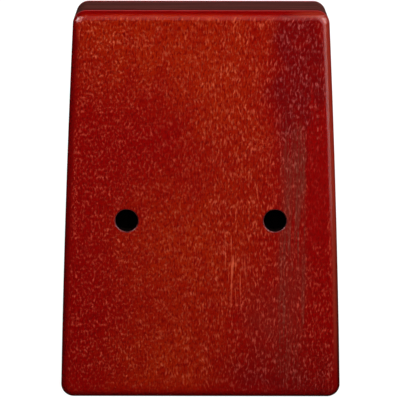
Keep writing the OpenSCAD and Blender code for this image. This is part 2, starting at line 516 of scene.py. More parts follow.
@dataclass(frozen=True)
class StainedLacquer(Finish):
    """Red stain in open-pored hardwood under gloss lacquer, with the grain along the box.

    Ramps are in millimetres: inwards from the face, up from the tail, or to the right of the middle.
    """

    blooms: tuple[Bloom, ...]
    glint_patches: tuple[GlintPatch, ...] = ()
    shift: float = 0.0
    base: Tone = DEEP_RED
    edge: Tone = EDGE_SHADE
    # Colour of a painted lit strip on the round of the right edge.
    painted_flank_light: Colour = (0.185, 0.0125, 0.006)
    # Colour of a painted highlight line at the seam, towards the head.
    side: Colour = (0.25, 0.006, 0.006)
    pore: Colour = (0.12, 0.0003, 0.0003)
    brightness: float = 1.04
    coat: float = 0.1
    coat_roughness: float = 0.14
    dryness: Ramp = Ramp(0.0, 1.0, 0.7, 0.5)
    relief: float = 0.01 * MM
    relief_strength: float = 0.4
    head_end: Ramp = Ramp(170.0, 178.0)
    right_side: Ramp = Ramp(35.0, 50.0)
    round_start: Ramp = Ramp(0.0, 1.0, 0.02, 0.3)
    round_end: Ramp = Ramp(0.0, 1.0, 0.6, 1.4)
    flat: Ramps = (Ramp(0.05, 0.5, 1.0, 0.1), Ramp(2.0, 14.0, 0.5, 1.0))
    # Where the painted lit strip on the right edge rises from the tail, and its depths on the round.
    painted_flank_rise: Ramp = Ramp(4.0, 40.0)
    wear_and_flank_light: Ramps = (Ramp(0.05, 0.5), Ramp(2.6, 1.0, 0.3, 1.0))
    # Depths of a painted highlight along the round of the head edge.
    head_edge_highlight: Ramps = (Ramp(0.0, 0.12), Ramp(0.9, 0.35, 0.0, 0.17))
    # Painted shade on the outer round of the edges: its depths, its rise towards the tail and its share to
    # the right.
    painted_edge_shade: Ramps = (Ramp(0.5, 1.5), Ramp(110.0, 20.0), Ramp(0.0, 1.0, 0.25, 0.75))
    # Depths and heights of the painted highlight line at the seam.
    joint: Ramps = (Ramp(2.3, 3.1), Ramp(60.0, 150.0))
    streaks: Grain = Grain(0.9, 34.0, shift=5.0)
    clouds: Grain = Grain(7.0, 12.0, detail=3.0)
    cloud_gain: Ramp = Ramp(NOISE_LOW, NOISE_HIGH, 0.55, 1.35)
    bloom_drift: Grain = Grain(17.0, 17.0, detail=1.0)
    bloom_reach: float = 8.0
    stripe_drift: Grain = Grain(9.0, 9.0, detail=1.0)
    stripe_reach: float = 1.2
    stripe_stagger: float = 100.0
    stripe_gap: float = 0.33
    stripe_line: float = 0.62
    pore_drift: Grain = Grain(6.0, 6.0, detail=1.0, shift=2.0)
    pore_reach: float = 1.2
    pores: Grain = Grain(0.8, 2.2, detail=1.0, shift=11.0)
    pore_shade: Ramp = Ramp(0.55, 0.32, 0.0, 0.75)
    dots: Grain = Grain(0.95, 1.7, detail=2.5)
    dashes: Grain = Grain(0.85, 2.5, detail=2.5, shift=7.0)
    dash_side: Ramp = Ramp(-45.0, 20.0, 0.1, 0.9)
    patches: Grain = Grain(4.5, 7.0, shift=3.0)
    patch_level: float = 0.51
    patch_gain: float = 0.28
    lines: Ramps = (Ramp(0.5, 0.75), Ramp(0.3, 1.0, 0.0, 0.06))
    glint_base: float = 3000.0
    glint_gain: float = 0.225
    glint_floor: float = -0.2
    glint_patch_shift: float = 9.0
    glint_patch_gap: float = 0.53
    glint_patch_peak: float = 0.67

    def paint(self, graph: ShaderGraph) -> None:
        """Lays the stain, its grain and the lacquer.

        Args:
            graph: The material's shader.
        """
        board = graph.on_board()
        across, along, _ = graph.split(board)
        depth = graph.math("SUBTRACT", FACE_DEPTH, graph.math("ABSOLUTE", graph.split(graph.place)[1]))
        head = graph.ramp(along, self.head_end)
        right = graph.ramp(across, self.right_side)
        flat = graph.band(self.flat, depth, along)
        streak = self.grain(graph, board, self.streaks)
        ground, glint = self.lay_stain(graph, board, streak)
        rounding = graph.span(depth, graph.ramp(head, self.round_start), graph.ramp(head, self.round_end))
        ground = graph.mix(rounding, ground, self.edge.ground)
        glint = graph.mix(rounding, glint, self.edge.glint)
        # Painted light: the round of the right edge gets a lit strip, which fades towards the tail.
        painted_flank_light = graph.product(right, graph.ramp(along, self.painted_flank_rise))
        ground = graph.mix(graph.product(painted_flank_light, graph.band(self.wear_and_flank_light, depth, depth)), ground, self.painted_flank_light)
        pores = graph.ramp(self.grain(graph, board, self.pores), self.pore_shade)
        ground = graph.mix(graph.product(pores, flat), ground, self.pore)
        # Painted highlight: the round of the head edge is made brighter.
        head_edge_highlight = graph.band(self.head_edge_highlight, depth, depth)
        ground = graph.shade(ground, graph.math("MULTIPLY_ADD", head_edge_highlight, head, self.brightness))
        # Painted shade: the outer round of the edges is darker towards the tail, most on the right.
        painted_edge_shade = graph.band(self.painted_edge_shade, depth, along, right)
        ground = graph.shade(ground, graph.math("SUBTRACT", 1.0, painted_edge_shade))
        # Painted highlight: a light line at the seam, towards the head.
        ground = graph.mix(graph.band(self.joint, depth, along), ground, self.side)
        # Painted highlights: the glint colour is mixed into the base colour where the pores shine.
        shine = graph.product(self.paint_glints(graph, board, streak), flat)
        graph.set(Base_Color=graph.mix(shine, ground, glint), Roughness=graph.ramp(shine, self.dryness),
                  Specular_IOR_Level=0.0, Coat_Weight=self.coat, Coat_Roughness=self.coat_roughness)
        graph.bump(shine, self.relief, self.relief_strength)

    def grain(self, graph: ShaderGraph, board: Feed, grain: Grain) -> Socket:
        """Adds noise in one of the finish's own grains."""
        return graph.board_noise(board, grain.moved(self.shift))

    def lay_stain(self, graph: ShaderGraph, board: Feed, streak: Feed) -> tuple[Feed, Feed]:
        """Mixes each bloom into the base tone.

        Args:
            graph: The material's shader.
            board: The flat place, in millimetres.
            streak: Noise in long streaks.

        Returns:
            The colours of the ground and of the glints.
        """
        ground, glint = self.base.ground, self.base.glint
        wandering = graph.drift(board, self.bloom_drift.moved(self.shift), self.bloom_reach)
        stagger = graph.math("MULTIPLY_ADD", streak, self.stripe_stagger, -self.stripe_stagger / 2)
        ragged = graph.drift(board, self.stripe_drift.moved(self.shift), self.stripe_reach)
        ragged = graph.vector("ADD", ragged, graph.join(0.0, stagger, 0.0))
        gain = graph.ramp(self.grain(graph, board, self.clouds), self.cloud_gain)
        for bloom in self.blooms:
            if bloom.raggedness:
                lines = graph.span(streak, self.stripe_gap, self.stripe_line, 1.0 - bloom.raggedness, 1.0)
                mask = graph.product(graph.stripe(ragged, bloom), lines, bloom.strength)
            else:
                mask = graph.product(graph.ellipse(wandering, bloom), gain, bloom.strength)
            ground = graph.mix(mask, ground, bloom.tone.ground)
            glint = graph.mix(mask, glint, bloom.tone.glint)
        return ground, glint

    def paint_glints(self, graph: ShaderGraph, board: Feed, streak: Feed) -> Socket:
        """Draws painted glints on the pores: dots on the left of the board, dashes on the right.

        Args:
            graph: The material's shader.
            board: The flat place, in millimetres.
            streak: Noise in long streaks.

        Returns:
            A mask that is mostly low, with small peaks.
        """
        ragged = graph.drift(board, self.pore_drift.moved(self.shift), self.pore_reach)
        dots = self.grain(graph, ragged, self.dots)
        dashes = self.grain(graph, ragged, self.dashes)
        side = graph.ramp(graph.split(board)[0], self.dash_side)
        relief = graph.math("MULTIPLY_ADD", graph.math("SUBTRACT", dashes, dots), side, dots)
        patches = graph.math("SUBTRACT", self.grain(graph, board, self.patches), self.patch_level)
        relief = graph.math("MULTIPLY_ADD", patches, self.patch_gain, relief)
        relief = graph.math("ADD", relief, graph.band(self.lines, streak, side))
        peaks = graph.math("POWER", self.glint_base, graph.math("SUBTRACT", relief, NOISE_MEAN))
        shine = graph.math("MULTIPLY_ADD", peaks, self.glint_gain, self.glint_floor)
        # Patches of extra painted glints.
        for glint_patch in self.glint_patches:
            size = Grain(glint_patch.pore_width, glint_patch.pore_length, detail=1.0, shift=self.glint_patch_shift)
            pores = self.grain(graph, board, size)
            rough = graph.span(pores, self.glint_patch_gap, self.glint_patch_peak, 0.0, glint_patch.strength)
            shine = graph.math("ADD", shine, graph.product(rough, graph.ellipse(board, glint_patch)))
        return shine


@dataclass(frozen=True)
class Timber(Finish):
    """Oiled or bare wood with streaks and pores along one axis; stain may bleed in from the back board."""

    axis: Axis
    dark: Colour
    light: Colour
    streak_width: float
    pore_share: float
    roughness: float
    specular: float
    bleed: Colour | None = None
    bleed_reach: float = 6.0
    streak_stretch: float = 30.0
    streak_detail: float = 4.0
    streak_ramp: Ramp = Ramp(NOISE_LOW, NOISE_HIGH)
    fibres: Grain = Grain(0.35, 12.0)
    fibre_shade: Ramp = Ramp(0.25, 0.75, 0.8, 1.2)
    pores: Grain = Grain(0.6, 4.5)
    pore_reach: float = 0.4
    pore_shade: Ramp = Ramp(0.0, 1.0, 1.0, 0.45)
    rough_spread: float = 0.06
    relief: float = 0.05 * MM
    relief_strength: float = 0.6

    def paint(self, graph: ShaderGraph) -> None:
        """Lays the streaks, darkens the pores and roughens both.

        Args:
            graph: The material's shader.
        """
        streaks = Grain(self.streak_width, self.streak_stretch * self.streak_width, self.streak_detail)
        wide = graph.axis_noise(self.axis, streaks)
        fine = graph.axis_noise(self.axis, self.fibres)
        colour = graph.mix(graph.ramp(wide, self.streak_ramp), self.dark, self.light)
        colour = graph.shade(colour, graph.ramp(fine, self.fibre_shade))
        pores = graph.flecks(graph.stretch(self.axis, self.pores), self.pore_share, self.pore_reach)
        colour = graph.shade(colour, graph.ramp(pores, self.pore_shade))
        if self.bleed:
            depth = graph.product(graph.split(graph.place)[1], -1.0)
            stained = graph.span(depth, SEAM_DEPTH - self.bleed_reach, SEAM_DEPTH)
            colour = graph.mix(stained, colour, self.bleed)
        smoothest, roughest = self.roughness - self.rough_spread, self.roughness + self.rough_spread
        rough = graph.span(fine, NOISE_LOW, NOISE_HIGH, smoothest, roughest)
        graph.set(Base_Color=colour, Roughness=rough, Specular_IOR_Level=self.specular)
        graph.bump(graph.math("SUBTRACT", fine, pores), self.relief, self.relief_strength)


@dataclass(frozen=True)
class GroundMetal(Finish):
    """Metal ground along one axis, with hair lines and faint smudges."""

    axis: Axis
    dark: Colour
    light: Colour
    roughness: float
    hairs: Grain = Grain(0.14, 24.0, detail=3.0, roughness=0.6)
    smudges: Grain = Grain(5.0, 9.0)
    hair_share: float = 0.5
    wear: Ramp = Ramp(0.35, 0.65)
    polish: float = 0.07
    haze: float = 0.09
    relief: float = 0.012 * MM
    relief_strength: float = 0.5

    def paint(self, graph: ShaderGraph) -> None:
        """Draws the hair lines into colour, roughness and height.

        Args:
            graph: The material's shader.
        """
        lines = graph.axis_noise(self.axis, self.hairs)
        smudge = graph.product(graph.axis_noise(self.axis, self.smudges), 1 - self.hair_share)
        wear_and_flank_light = graph.math("MULTIPLY_ADD", lines, self.hair_share, smudge)
        colour = graph.mix(graph.ramp(wear_and_flank_light, self.wear), self.dark, self.light)
        smoothest, roughest = self.roughness - self.polish, self.roughness + self.haze
        rough = graph.span(wear_and_flank_light, NOISE_LOW, NOISE_HIGH, smoothest, roughest)
        graph.set(Base_Color=colour, Roughness=rough, Metallic=1.0)
        graph.bump(lines, self.relief, self.relief_strength)


RED_BACK = StainedLacquer(
    "red lacquered back",
    blooms=(
        Bloom(-18.0, 175.0, 85.0, 50.0, 1.0, WARM_RED),
        Bloom(6.0, 146.0, 26.0, 42.0, 1.0, WARM_RED),
        Bloom(20.0, 118.0, 24.0, 80.0, 0.55, WARM_RED),
        Bloom(-6.0, 72.0, 52.0, 58.0, 0.95, WARM_RED),
        Bloom(-14.0, 18.0, 44.0, 40.0, 0.95, WARM_RED),
        Bloom(45.0, 160.0, 18.0, 62.0, 1.0, CRIMSON_SHADE, core=0.4),
        Bloom(40.0, 5.0, 46.0, 36.0, 1.0, BROWN_SHADE, core=0.1),
        Bloom(42.0, 102.0, 7.0, 32.0, 0.85, GREY_SHADE, core=0.3, raggedness=0.7),
        Bloom(46.2, 104.0, 2.6, 30.0, 1.0, GREY_SHADE, core=0.8, raggedness=0.9),
        Bloom(38.5, 60.0, 3.6, 30.0, 0.8, GREY_SHADE, core=0.2, raggedness=0.9),
        Bloom(48.3, 62.0, 1.6, 30.0, 0.6, GREY_SHADE, core=0.3, raggedness=0.9),
        Bloom(42.0, 30.0, 9.0, 24.0, 0.5, GREY_SHADE, core=0.2, raggedness=0.9),
        Bloom(53.0, 104.0, 4.4, 38.0, 1.0, CLEAR_RED, core=0.7, raggedness=0.2),
        Bloom(57.8, 106.0, 1.8, 44.0, 1.0, CLEAR_RED, core=0.6, raggedness=0.2),
        Bloom(38.0, 0.0, 46.0, 22.0, 0.75, CRIMSON_SHADE),
        Bloom(43.0, 60.0, 11.0, 30.0, 0.35, GREY_SHADE, core=0.2),
        Bloom(30.0, 38.0, 16.0, 30.0, 0.32, GREY_SHADE),
        Bloom(0.0, -3.0, 95.0, 13.0, 0.75, DEEP_RED, core=0.3),
    ),
    # Patches of extra painted glints on the pores.
    glint_patches=(
        GlintPatch(-58.2, 102.0, 1.1, 42.0, 0.8, 0.6, 0.9),
        GlintPatch(30.0, 124.0, 10.0, 6.0, 0.35, 0.55, 0.6),
        GlintPatch(15.6, 63.0, 8.5, 23.0, 0.75, 1.0, 18.0),
    ),
)
RED_FRONT = StainedLacquer(
    "red lacquered front",
    blooms=(
        Bloom(16.0, 160.0, 60.0, 46.0, 0.9, WARM_RED),
        Bloom(-22.0, 86.0, 40.0, 78.0, 0.9, WARM_RED),
        Bloom(26.0, 36.0, 38.0, 44.0, 0.8, WARM_RED),
        Bloom(47.0, 92.0, 18.0, 60.0, 0.9, CRIMSON_SHADE),
        Bloom(-46.0, 60.0, 8.0, 56.0, 0.8, GREY_SHADE, core=0.5, raggedness=0.9),
    ),
    shift=31.0,
)
RIM_WOOD = Timber(
    "dark rim wood", Axis.ALONG, dark=(0.035, 0.0112, 0.009), light=(0.074, 0.019, 0.016),
    streak_width=2.2, pore_share=0.4, roughness=0.9, specular=0.0, bleed=(0.062, 0.006, 0.0055),
)
RIM_END_WOOD = replace(RIM_WOOD, name="dark rim end wood", axis=Axis.ACROSS)
INNER_WOOD = Timber(
    "dark inner wood", Axis.ALONG, dark=(0.005, 0.003, 0.002), light=(0.012, 0.007, 0.005),
    streak_width=1.8, pore_share=0.5, roughness=0.85, specular=0.05,
)
# Near-black walls of the holes.
NEAR_BLACK_BORE = Timber(
    "dark bore", Axis.ALONG, dark=(0.003, 0.002, 0.002), light=(0.007, 0.003, 0.003),
    streak_width=1.5, pore_share=0.3, roughness=0.9, specular=0.0,
)
LIP_STAIN = Timber(
    "stained hole lip", Axis.ALONG, dark=(0.05, 0.002, 0.002), light=(0.1, 0.008, 0.008),
    streak_width=1.5, pore_share=0.3, roughness=0.3, specular=0.06,
)
SADDLE_WOOD = Timber(
    "dark saddle wood", Axis.ACROSS, dark=(0.025, 0.009, 0.006), light=(0.085, 0.034, 0.02),
    streak_width=1.1, pore_share=0.6, roughness=0.42, specular=0.4,
)
BRACE_WOOD = Timber(
    "pale brace wood", Axis.ACROSS, dark=(0.42, 0.26, 0.13), light=(0.58, 0.4, 0.23),
    streak_width=1.6, pore_share=0.25, roughness=0.8, specular=0.2,
)
TINE_STEEL = GroundMetal("spring steel", Axis.ALONG, (0.42, 0.43, 0.45), (0.62, 0.63, 0.65), 0.24)
ROD_STEEL = GroundMetal("bright rod steel", Axis.ACROSS, (0.52, 0.52, 0.53), (0.7, 0.7, 0.71), 0.2)
BAR_STEEL = GroundMetal("ground bar steel", Axis.ACROSS, (0.42, 0.42, 0.43), (0.6, 0.6, 0.61), 0.28)
SCREW_STEEL = GroundMetal("dark screw steel", Axis.THROUGH, (0.1, 0.1, 0.105), (0.2, 0.2, 0.21), 0.34)
INSERT_BRASS = GroundMetal("turned brass", Axis.THROUGH, (0.5, 0.33, 0.1), (0.68, 0.48, 0.18), 0.3)


def place(name: str, data: bpy.types.ID) -> bpy.types.Object:
    """Puts a mesh, a lamp or a camera into the scene as a new object at the origin.

    Args:
        name: Name of the object.
        data: What it holds.

    Returns:
        The object.
    """
    made = bpy.data.objects.new(name, data)
    bpy.context.scene.collection.objects.link(made)
    return made


def cast(name: str, shell: bmesh.types.BMesh) -> Piece:
    """Makes a piece of a shell, which is used up.

    Args:
        name: Name of the piece.
        shell: The shell.

    Returns:
        The piece.
    """
    mesh = bpy.data.meshes.new(name)
    shell.to_mesh(mesh)
    shell.free()
    return place(name, mesh)


def settle(piece: Piece) -> None:
    """Turns a piece with modifiers into a plain mesh.

    Args:
        piece: The piece.
    """
    depsgraph = bpy.context.evaluated_depsgraph_get()
    mesh = bpy.data.meshes.new_from_object(piece.evaluated_get(depsgraph), depsgraph=depsgraph)
    piece.modifiers.clear()
    piece.data = mesh


def smooth(piece: Piece) -> Piece:
    """Welds a closed piece, turns its faces outwards and shades it, with its creases and flats kept.

    Args:
        piece: A piece whose modifiers are settled.

    Returns:
        The same piece.
    """
    shell = bmesh.new()
    shell.from_mesh(piece.data)
    bmesh.ops.remove_doubles(shell, verts=shell.verts, dist=WELD)
    bmesh.ops.recalc_face_normals(shell, faces=shell.faces)
    shell.to_mesh(piece.data)
    shell.free()
    piece.data.shade_smooth()
    piece.data.set_sharp_from_angle(angle=CREASE)
    weighting = piece.modifiers.new("flats", "WEIGHTED_NORMAL")
    weighting.keep_sharp = True
    weighting.weight = FLAT_WEIGHT
    settle(piece)
    return piece


def carve(piece: Piece, cutters: Sequence[Piece]) -> Piece:
    """Cuts other solids out of a piece, takes them out of the scene and shades the piece again.

    Args:
        piece: The piece.
        cutters: The solids.

    Returns:
        The same piece.
    """
    for cutter in cutters:
        cut = piece.modifiers.new(cutter.name, "BOOLEAN")
        cut.operation = "DIFFERENCE"
        cut.solver = "EXACT"
        cut.object = cutter
    settle(piece)
    for cutter in cutters:
        bpy.data.objects.remove(cutter)
    return smooth(piece)


def drill(centre: Vector, axis: Axis, radius: float, length: float) -> Piece:
    """Makes a round cutter.

    Args:
        centre: Middle of the cutter.
        axis: Direction of the cutter.
        radius: Its radius.
        length: Its length.

    Returns:
        The cutter, in the scene.
    """
    turns = {Axis.ACROSS: (0, QUARTER, 0), Axis.THROUGH: (QUARTER, 0, 0), Axis.ALONG: (0, 0, 0)}
    matrix = Euler(turns[axis]).to_matrix().to_4x4()
    matrix.translation = centre
    shell = bmesh.new()
    bmesh.ops.create_cone(shell, cap_ends=True, segments=CUTTER_STEPS, radius1=radius, radius2=radius,
                          depth=length, matrix=matrix)
    return cast("cutter", shell)


@dataclass(frozen=True)
class Outline:
    """Outline of the box or its cavity in X and Z: straight ends, bowed sides and round corners.

    The sides keep one distance from a bowed spine, so each ring inside the outline has round corners too.
    """

    length: float
    tail_width: float
    head_width: float
    side_bow: float
    corner_radius: float
    side_inset: float = 0.0
    end_inset: float = 0.0
    round_radius: float = 6 * MM
    side_steps: int = 28
    corner_steps: int = 14

    def side_x(self, z: float) -> float:
        """Finds the side of the box.

        Args:
            z: Height above the tail.

        Returns:
            Half the width of the box there.
        """
        share = (z - self.corner_radius) / (self.length - 2 * self.corner_radius)
        straight = self.tail_width / 2 + (self.head_width - self.tail_width) / 2 * share
        return straight + self.side_bow * (1 - (2 * share - 1) ** 2)

    def spine(self) -> list[Point]:
        """Draws the right spine from tail to head.

        Returns:
            For each point x, z, and the angle of the side's outward normal.
        """
        start = self.end_inset + self.round_radius
        points = []
        for step in range(self.side_steps + 1):
            z = start + step / self.side_steps * (self.length - 2 * start)
            slope = (self.side_x(z + MM) - self.side_x(z - MM)) / (2 * MM)
            points.append((self.side_x(z) - self.side_inset - self.round_radius, z, math.atan(-slope)))
        return points

    def ring(self, inset: float = 0.0) -> list[Flat]:
        """Draws the outline, counter-clockwise as seen from the back.

        Args:
            inset: Distance that the ring lies inside the outline.

        Returns:
            Points in X and Z.
        """
        spine = self.spine()
        turns = [step / self.corner_steps for step in range(self.corner_steps + 1)]
        x, z, lean = spine[0]
        places = [(x, z, -QUARTER + turn * (QUARTER + lean)) for turn in turns]
        places += spine[1:-1]
        x, z, lean = spine[-1]
        places += [(x, z, lean + turn * (QUARTER - lean)) for turn in turns]
        reach = self.round_radius - inset
        right = [(x + reach * math.cos(angle), z + reach * math.sin(angle)) for x, z, angle in places]
        return right + [(-x, z) for x, z in reversed(right)]


@dataclass(frozen=True)
class Hole:
    """A round hole through a board, its outer edge eased by a small radius."""

    x: float
    z: float
    radius: float
    ease: float = 0.5 * MM
    steps: int = 72

    def ring(self, spread: float = 0.0) -> list[Flat]:
        """Draws the hole's edge.

        Args:
            spread: Amount by which the hole is widened.

        Returns:
            Points in X and Z.
        """
        radius = self.radius + spread
        turns = [2 * math.pi * step / self.steps for step in range(self.steps)]
        return [(self.x + radius * math.cos(turn), self.z + radius * math.sin(turn)) for turn in turns]


class Loft:
    """A closed mesh that is put together from rings of points."""

    def __init__(self) -> None:
        """Starts with no rings."""
        self.mesh = bmesh.new()

    def ring(self, points: Sequence[Point]) -> Ring:
        """Adds one ring of points."""
        return [self.mesh.verts.new(point) for point in points]

    def level(self, points: Sequence[Flat], y: float) -> Ring:
        """Adds one ring of points in X and Z at a depth."""
        return self.ring([(x, y, z) for x, z in points])

    def bridge(self, rings: Sequence[Ring], slot: Enum = WallSlot.OUTSIDE) -> None:
        """Joins each ring to the next with a strip of faces.

        Args:
            rings: Rings with the same number of points.
            slot: Material slot of the faces.
        """
        for near, far in zip(rings, rings[1:]):
            for i in range(len(near)):
                j = (i + 1) % len(near)
                face = self.mesh.faces.new((near[i], near[j], far[j], far[i]))
                face.material_index = slot.value

    def fill(self, rings: Sequence[Ring], slot: Enum = WallSlot.OUTSIDE) -> None:
        """Fills the flat face between an outer ring and the rings of its holes.

        Args:
            rings: The outer ring, and those of the holes.
            slot: Material slot of the face.
        """
        edges = []
        for ring in rings:
            edges += [self.mesh.edges.get((ring[i - 1], ring[i])) for i in range(len(ring))]
        made = bmesh.ops.triangle_fill(self.mesh, edges=edges, use_beauty=True)
        for face in made["geom"]:
            if isinstance(face, bmesh.types.BMFace):
                face.material_index = slot.value

    def cap(self, ring: Ring) -> None:
        """Closes a ring without holes with one face."""
        self.mesh.faces.new(ring)

    def mitre(self, sides: Enum, ends: Enum) -> None:
        """Gives the faces that look along the box, rather than across it, their own slot.

        Args:
            sides: Slot of the faces so far.
            ends: Slot of those that look along the box.
        """
        self.mesh.normal_update()
        for face in self.mesh.faces:
            if face.material_index == sides.value and abs(face.normal.z) > MITRE:
                face.material_index = ends.value

    def piece(self, name: str) -> Piece:
        """Ends the loft as a smooth piece in the scene."""
        return smooth(cast(name, self.mesh))


def ease_arc() -> list[Flat]:
    """Gives a quarter turn as pairs of shares: across, from 1 to 0, and through, from 0 to 1."""
    turns = [QUARTER * step / EASE_STEPS for step in range(EASE_STEPS + 1)]
    return [(1 - math.sin(turn), 1 - math.cos(turn)) for turn in turns]


def dress(piece: Piece, *finishes: Finish) -> None:
    """Puts finishes into a piece's material slots.

    Args:
        piece: The piece.
        finishes: Its finishes, in the order of the slots.
    """
    slots = piece.data.materials
    for number, finish in enumerate(finishes):
        if number < len(slots):
            slots[number] = finish.material()
        else:
            slots.append(finish.material())


def mount(piece: Piece, node: str, slot: str, *finishes: Finish) -> None:
    """Dresses a piece and lets it stand for a CAD node of the box.

    Args:
        piece: The piece.
        node: The CAD node that it replaces.
        slot: The record's material slot, which is not used.
        finishes: Its finishes in order, or none where its rule has set the material.
    """
    dress(piece, *finishes)
    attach(piece, BOX_BODY)
    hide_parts(node)
    log.info("%s stands for %s, %d faces", piece.name, node, len(piece.data.polygons))


def tine_pitch() -> float:
    """Gives the distance between neighbouring tines, from the joints."""
    places = sorted(joint["pos_m"][0] for joint in frame["joints"])
    return places[1] - places[0]


def screw_places() -> list[float]:
    """Gives the places of the clamp screws across the box, midway between tines."""
    step = TINES_PER_SCREW * tine_pitch()
    return [(number - (SCREW_COUNT - 1) / 2) * step for number in range(SCREW_COUNT)]


@dataclass
class SoundBox:
    """The glued box: a routed rim between a back board and a soundboard, with a brace inside."""

    head_width: float = 117 * MM
    side_bow: float = 0.6 * MM
    corner_radius: float = 6 * MM
    edge_round: float = 3 * MM
    edge_reach: float = 4.5 * MM
    edge_steps: int = 18
    side_wall: float = 9 * MM
    end_wall: float = 10 * MM
    cavity_radius: float = 8 * MM
    seam: float = 0.15 * MM
    back_hole: float = 5.25 * MM
    back_hole_spacing: float = 69 * MM
    back_hole_height: float = 87 * MM
    sound_hole: float = 15 * MM
    sound_hole_height: float = 58 * MM
    screw_hole: float = 1.45 * MM
    screw_hole_ease: float = 0.1 * MM
    screw_hole_steps: int = 24

    def __post_init__(self) -> None:
        """Takes the box's length, tail width and joints between boards from the frame."""
        low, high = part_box("rim_frame")
        self.joints = {BoardSide.BACK: low.y, BoardSide.FRONT: high.y}
        back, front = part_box("back_board")[0].y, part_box("soundboard")[1].y
        self.faces = {BoardSide.BACK: back, BoardSide.FRONT: front}
        sizes = (high.z - low.z, high.x - low.x, self.head_width, self.side_bow, self.corner_radius)
        self.outside = Outline(*sizes, round_radius=self.corner_radius)
        self.cavity = Outline(*sizes, self.side_wall, self.end_wall, self.cavity_radius)

    def build(self) -> None:
        """Builds and dresses the two boards and the rim, and dresses the brace."""
        walls = (INNER_WOOD, NEAR_BLACK_BORE, LIP_STAIN)
        half = self.back_hole_spacing / 2
        back_holes = [Hole(x, self.back_hole_height, self.back_hole) for x in (-half, half)]
        back = self.board("lacquered_back", BoardSide.BACK, back_holes)
        mount(back, "back_board", "back_wood", RED_BACK, *walls)
        screw_z = middle("clamp_screws").z
        screw_sizes = (screw_z, self.screw_hole, self.screw_hole_ease, self.screw_hole_steps)
        front_holes = [Hole(0.0, self.sound_hole_height, self.sound_hole)]
        front_holes += [Hole(x, *screw_sizes) for x in screw_places()]
        front = self.board("lacquered_front", BoardSide.FRONT, front_holes)
        mount(front, "soundboard", "front_wood", RED_FRONT, *walls)
        mount(self.rim(), "rim_frame", "rim_wood", RIM_WOOD, INNER_WOOD, RIM_END_WOOD)
        dress(frame["nodes"]["bridge_brace"], BRACE_WOOD)

    def board(self, name: str, side: BoardSide, holes: Sequence[Hole]) -> Piece:
        """Builds one board: a flat face, a rounded-over edge, a small bevel at the joint, and holes.

        Args:
            name: Name of the piece.
            side: The face of the box that it closes.
            holes: Holes through it.

        Returns:
            The piece.
        """
        inner, outer = self.joints[side], self.faces[side]
        loft = Loft()
        rings = [loft.level(self.outside.ring(inset), y) for inset, y in self.edge_profile(side)]
        loft.bridge(rings)
        mouths, ends = [rings[-1]], [rings[0]]
        for hole in holes:
            lip = [loft.level(hole.ring(hole.ease * across), outer - side.value * hole.ease * through)
                   for across, through in ease_arc()]
            end = loft.level(hole.ring(), inner)
            loft.bridge(lip, WallSlot.LIP)
            loft.bridge([lip[-1], end], WallSlot.BORE)
            mouths.append(lip[0])
            ends.append(end)
        loft.fill(mouths)
        loft.fill(ends, WallSlot.INSIDE)
        return loft.piece(name)

    def edge_profile(self, side: BoardSide) -> list[Flat]:
        """Draws a board's edge from the joint to the flat face.

        Args:
            side: The face of the box that the board closes.

        Returns:
            Insets and depths.
        """
        inner, outer, out = self.joints[side], self.faces[side], side.value
        profile = [(self.seam, inner), (0.0, inner + out * self.seam)]
        for step in range(self.edge_steps + 1):
            turn = QUARTER * step / self.edge_steps
            inset = self.edge_reach * (1 - math.cos(turn))
            profile.append((inset, outer - out * self.edge_round * (1 - math.sin(turn))))
        return profile

    def rim(self) -> Piece:
        """Builds the rim as one closed band, bevelled at the joints.

        Returns:
            The piece.
        """
        low, high = self.joints.values()
        profile = [(self.seam, low), (0.0, low + self.seam), (0.0, high - self.seam), (self.seam, high)]
        loft = Loft()
        outer = [loft.level(self.outside.ring(inset), y) for inset, y in profile]
        inner = [loft.level(self.cavity.ring(), y) for y in (high, low)]
        loft.bridge(outer, RimSlot.SIDES)
        loft.bridge([outer[-1], *inner, outer[0]], RimSlot.INSIDE)
        loft.mitre(RimSlot.SIDES, RimSlot.ENDS)
        return loft.piece("dark_rim")


class RuleTree(NodeGraph):
    """A Geometry Nodes tree with named inputs, whose result is kept as a plain mesh."""

    KINDS = {float: "NodeSocketFloat", int: "NodeSocketInt", Vector: "NodeSocketVector",
             bpy.types.Material: "NodeSocketMaterial"}

    def __init__(self, name: str, inputs: Mapping[str, type]) -> None:
        """Makes the tree's sockets.

        Args:
            name: Name of the rule.
            inputs: The type of each named input.
        """
        super().__init__(bpy.data.node_groups.new(name, "GeometryNodeTree"))
        face = self.tree.interface
        face.new_socket("Geometry", in_out="INPUT", socket_type="NodeSocketGeometry")
        face.new_socket("Geometry", in_out="OUTPUT", socket_type="NodeSocketGeometry")
        self.identifiers = {}
        for label, kind in inputs.items():
            socket = face.new_socket(label, in_out="INPUT", socket_type=self.KINDS[kind])
            self.identifiers[label] = socket.identifier
        self.inputs = self.add("NodeGroupInput").outputs

    def capture(self, geometry: Feed, value: Feed, kind: str = "FLOAT") -> tuple[Socket, Socket]:
        """Keeps a value on each point of a geometry.

        Args:
            geometry: The geometry.
            value: The value.
            kind: Its data type.

        Returns:
            The geometry and the kept value.
        """
        node = self.add("GeometryNodeCaptureAttribute", {"Geometry": geometry})
        node.capture_items.new(kind, "kept")
        self.feed(node.inputs["kept"], value)
        return node.outputs["Geometry"], node.outputs["kept"]

    def close(self, geometry: Feed) -> None:
        """Ends the tree: instances become real and take the material.

        Args:
            geometry: What the rule has made.
        """
        real = self.result("GeometryNodeRealizeInstances", {"Geometry": geometry})
        material = self.inputs["Material"]
        painted = self.result("GeometryNodeSetMaterial", {"Geometry": real, "Material": material})
        self.add("NodeGroupOutput", {"Geometry": painted})

    def make(self, name: str, base: bpy.types.Mesh, values: Mapping[str, object]) -> Piece:
        """Runs the rule once.

        Args:
            name: Name of the piece.
            base: Mesh that the rule starts from.
            values: A value for each named input.

        Returns:
            The piece, with a plain mesh.
        """
        piece = place(name, base)
        rule = piece.modifiers.new(self.tree.name, "NODES")
        rule.node_group = self.tree
        for label, value in values.items():
            rule[self.identifiers[label]] = value
        settle(piece)
        return smooth(piece)


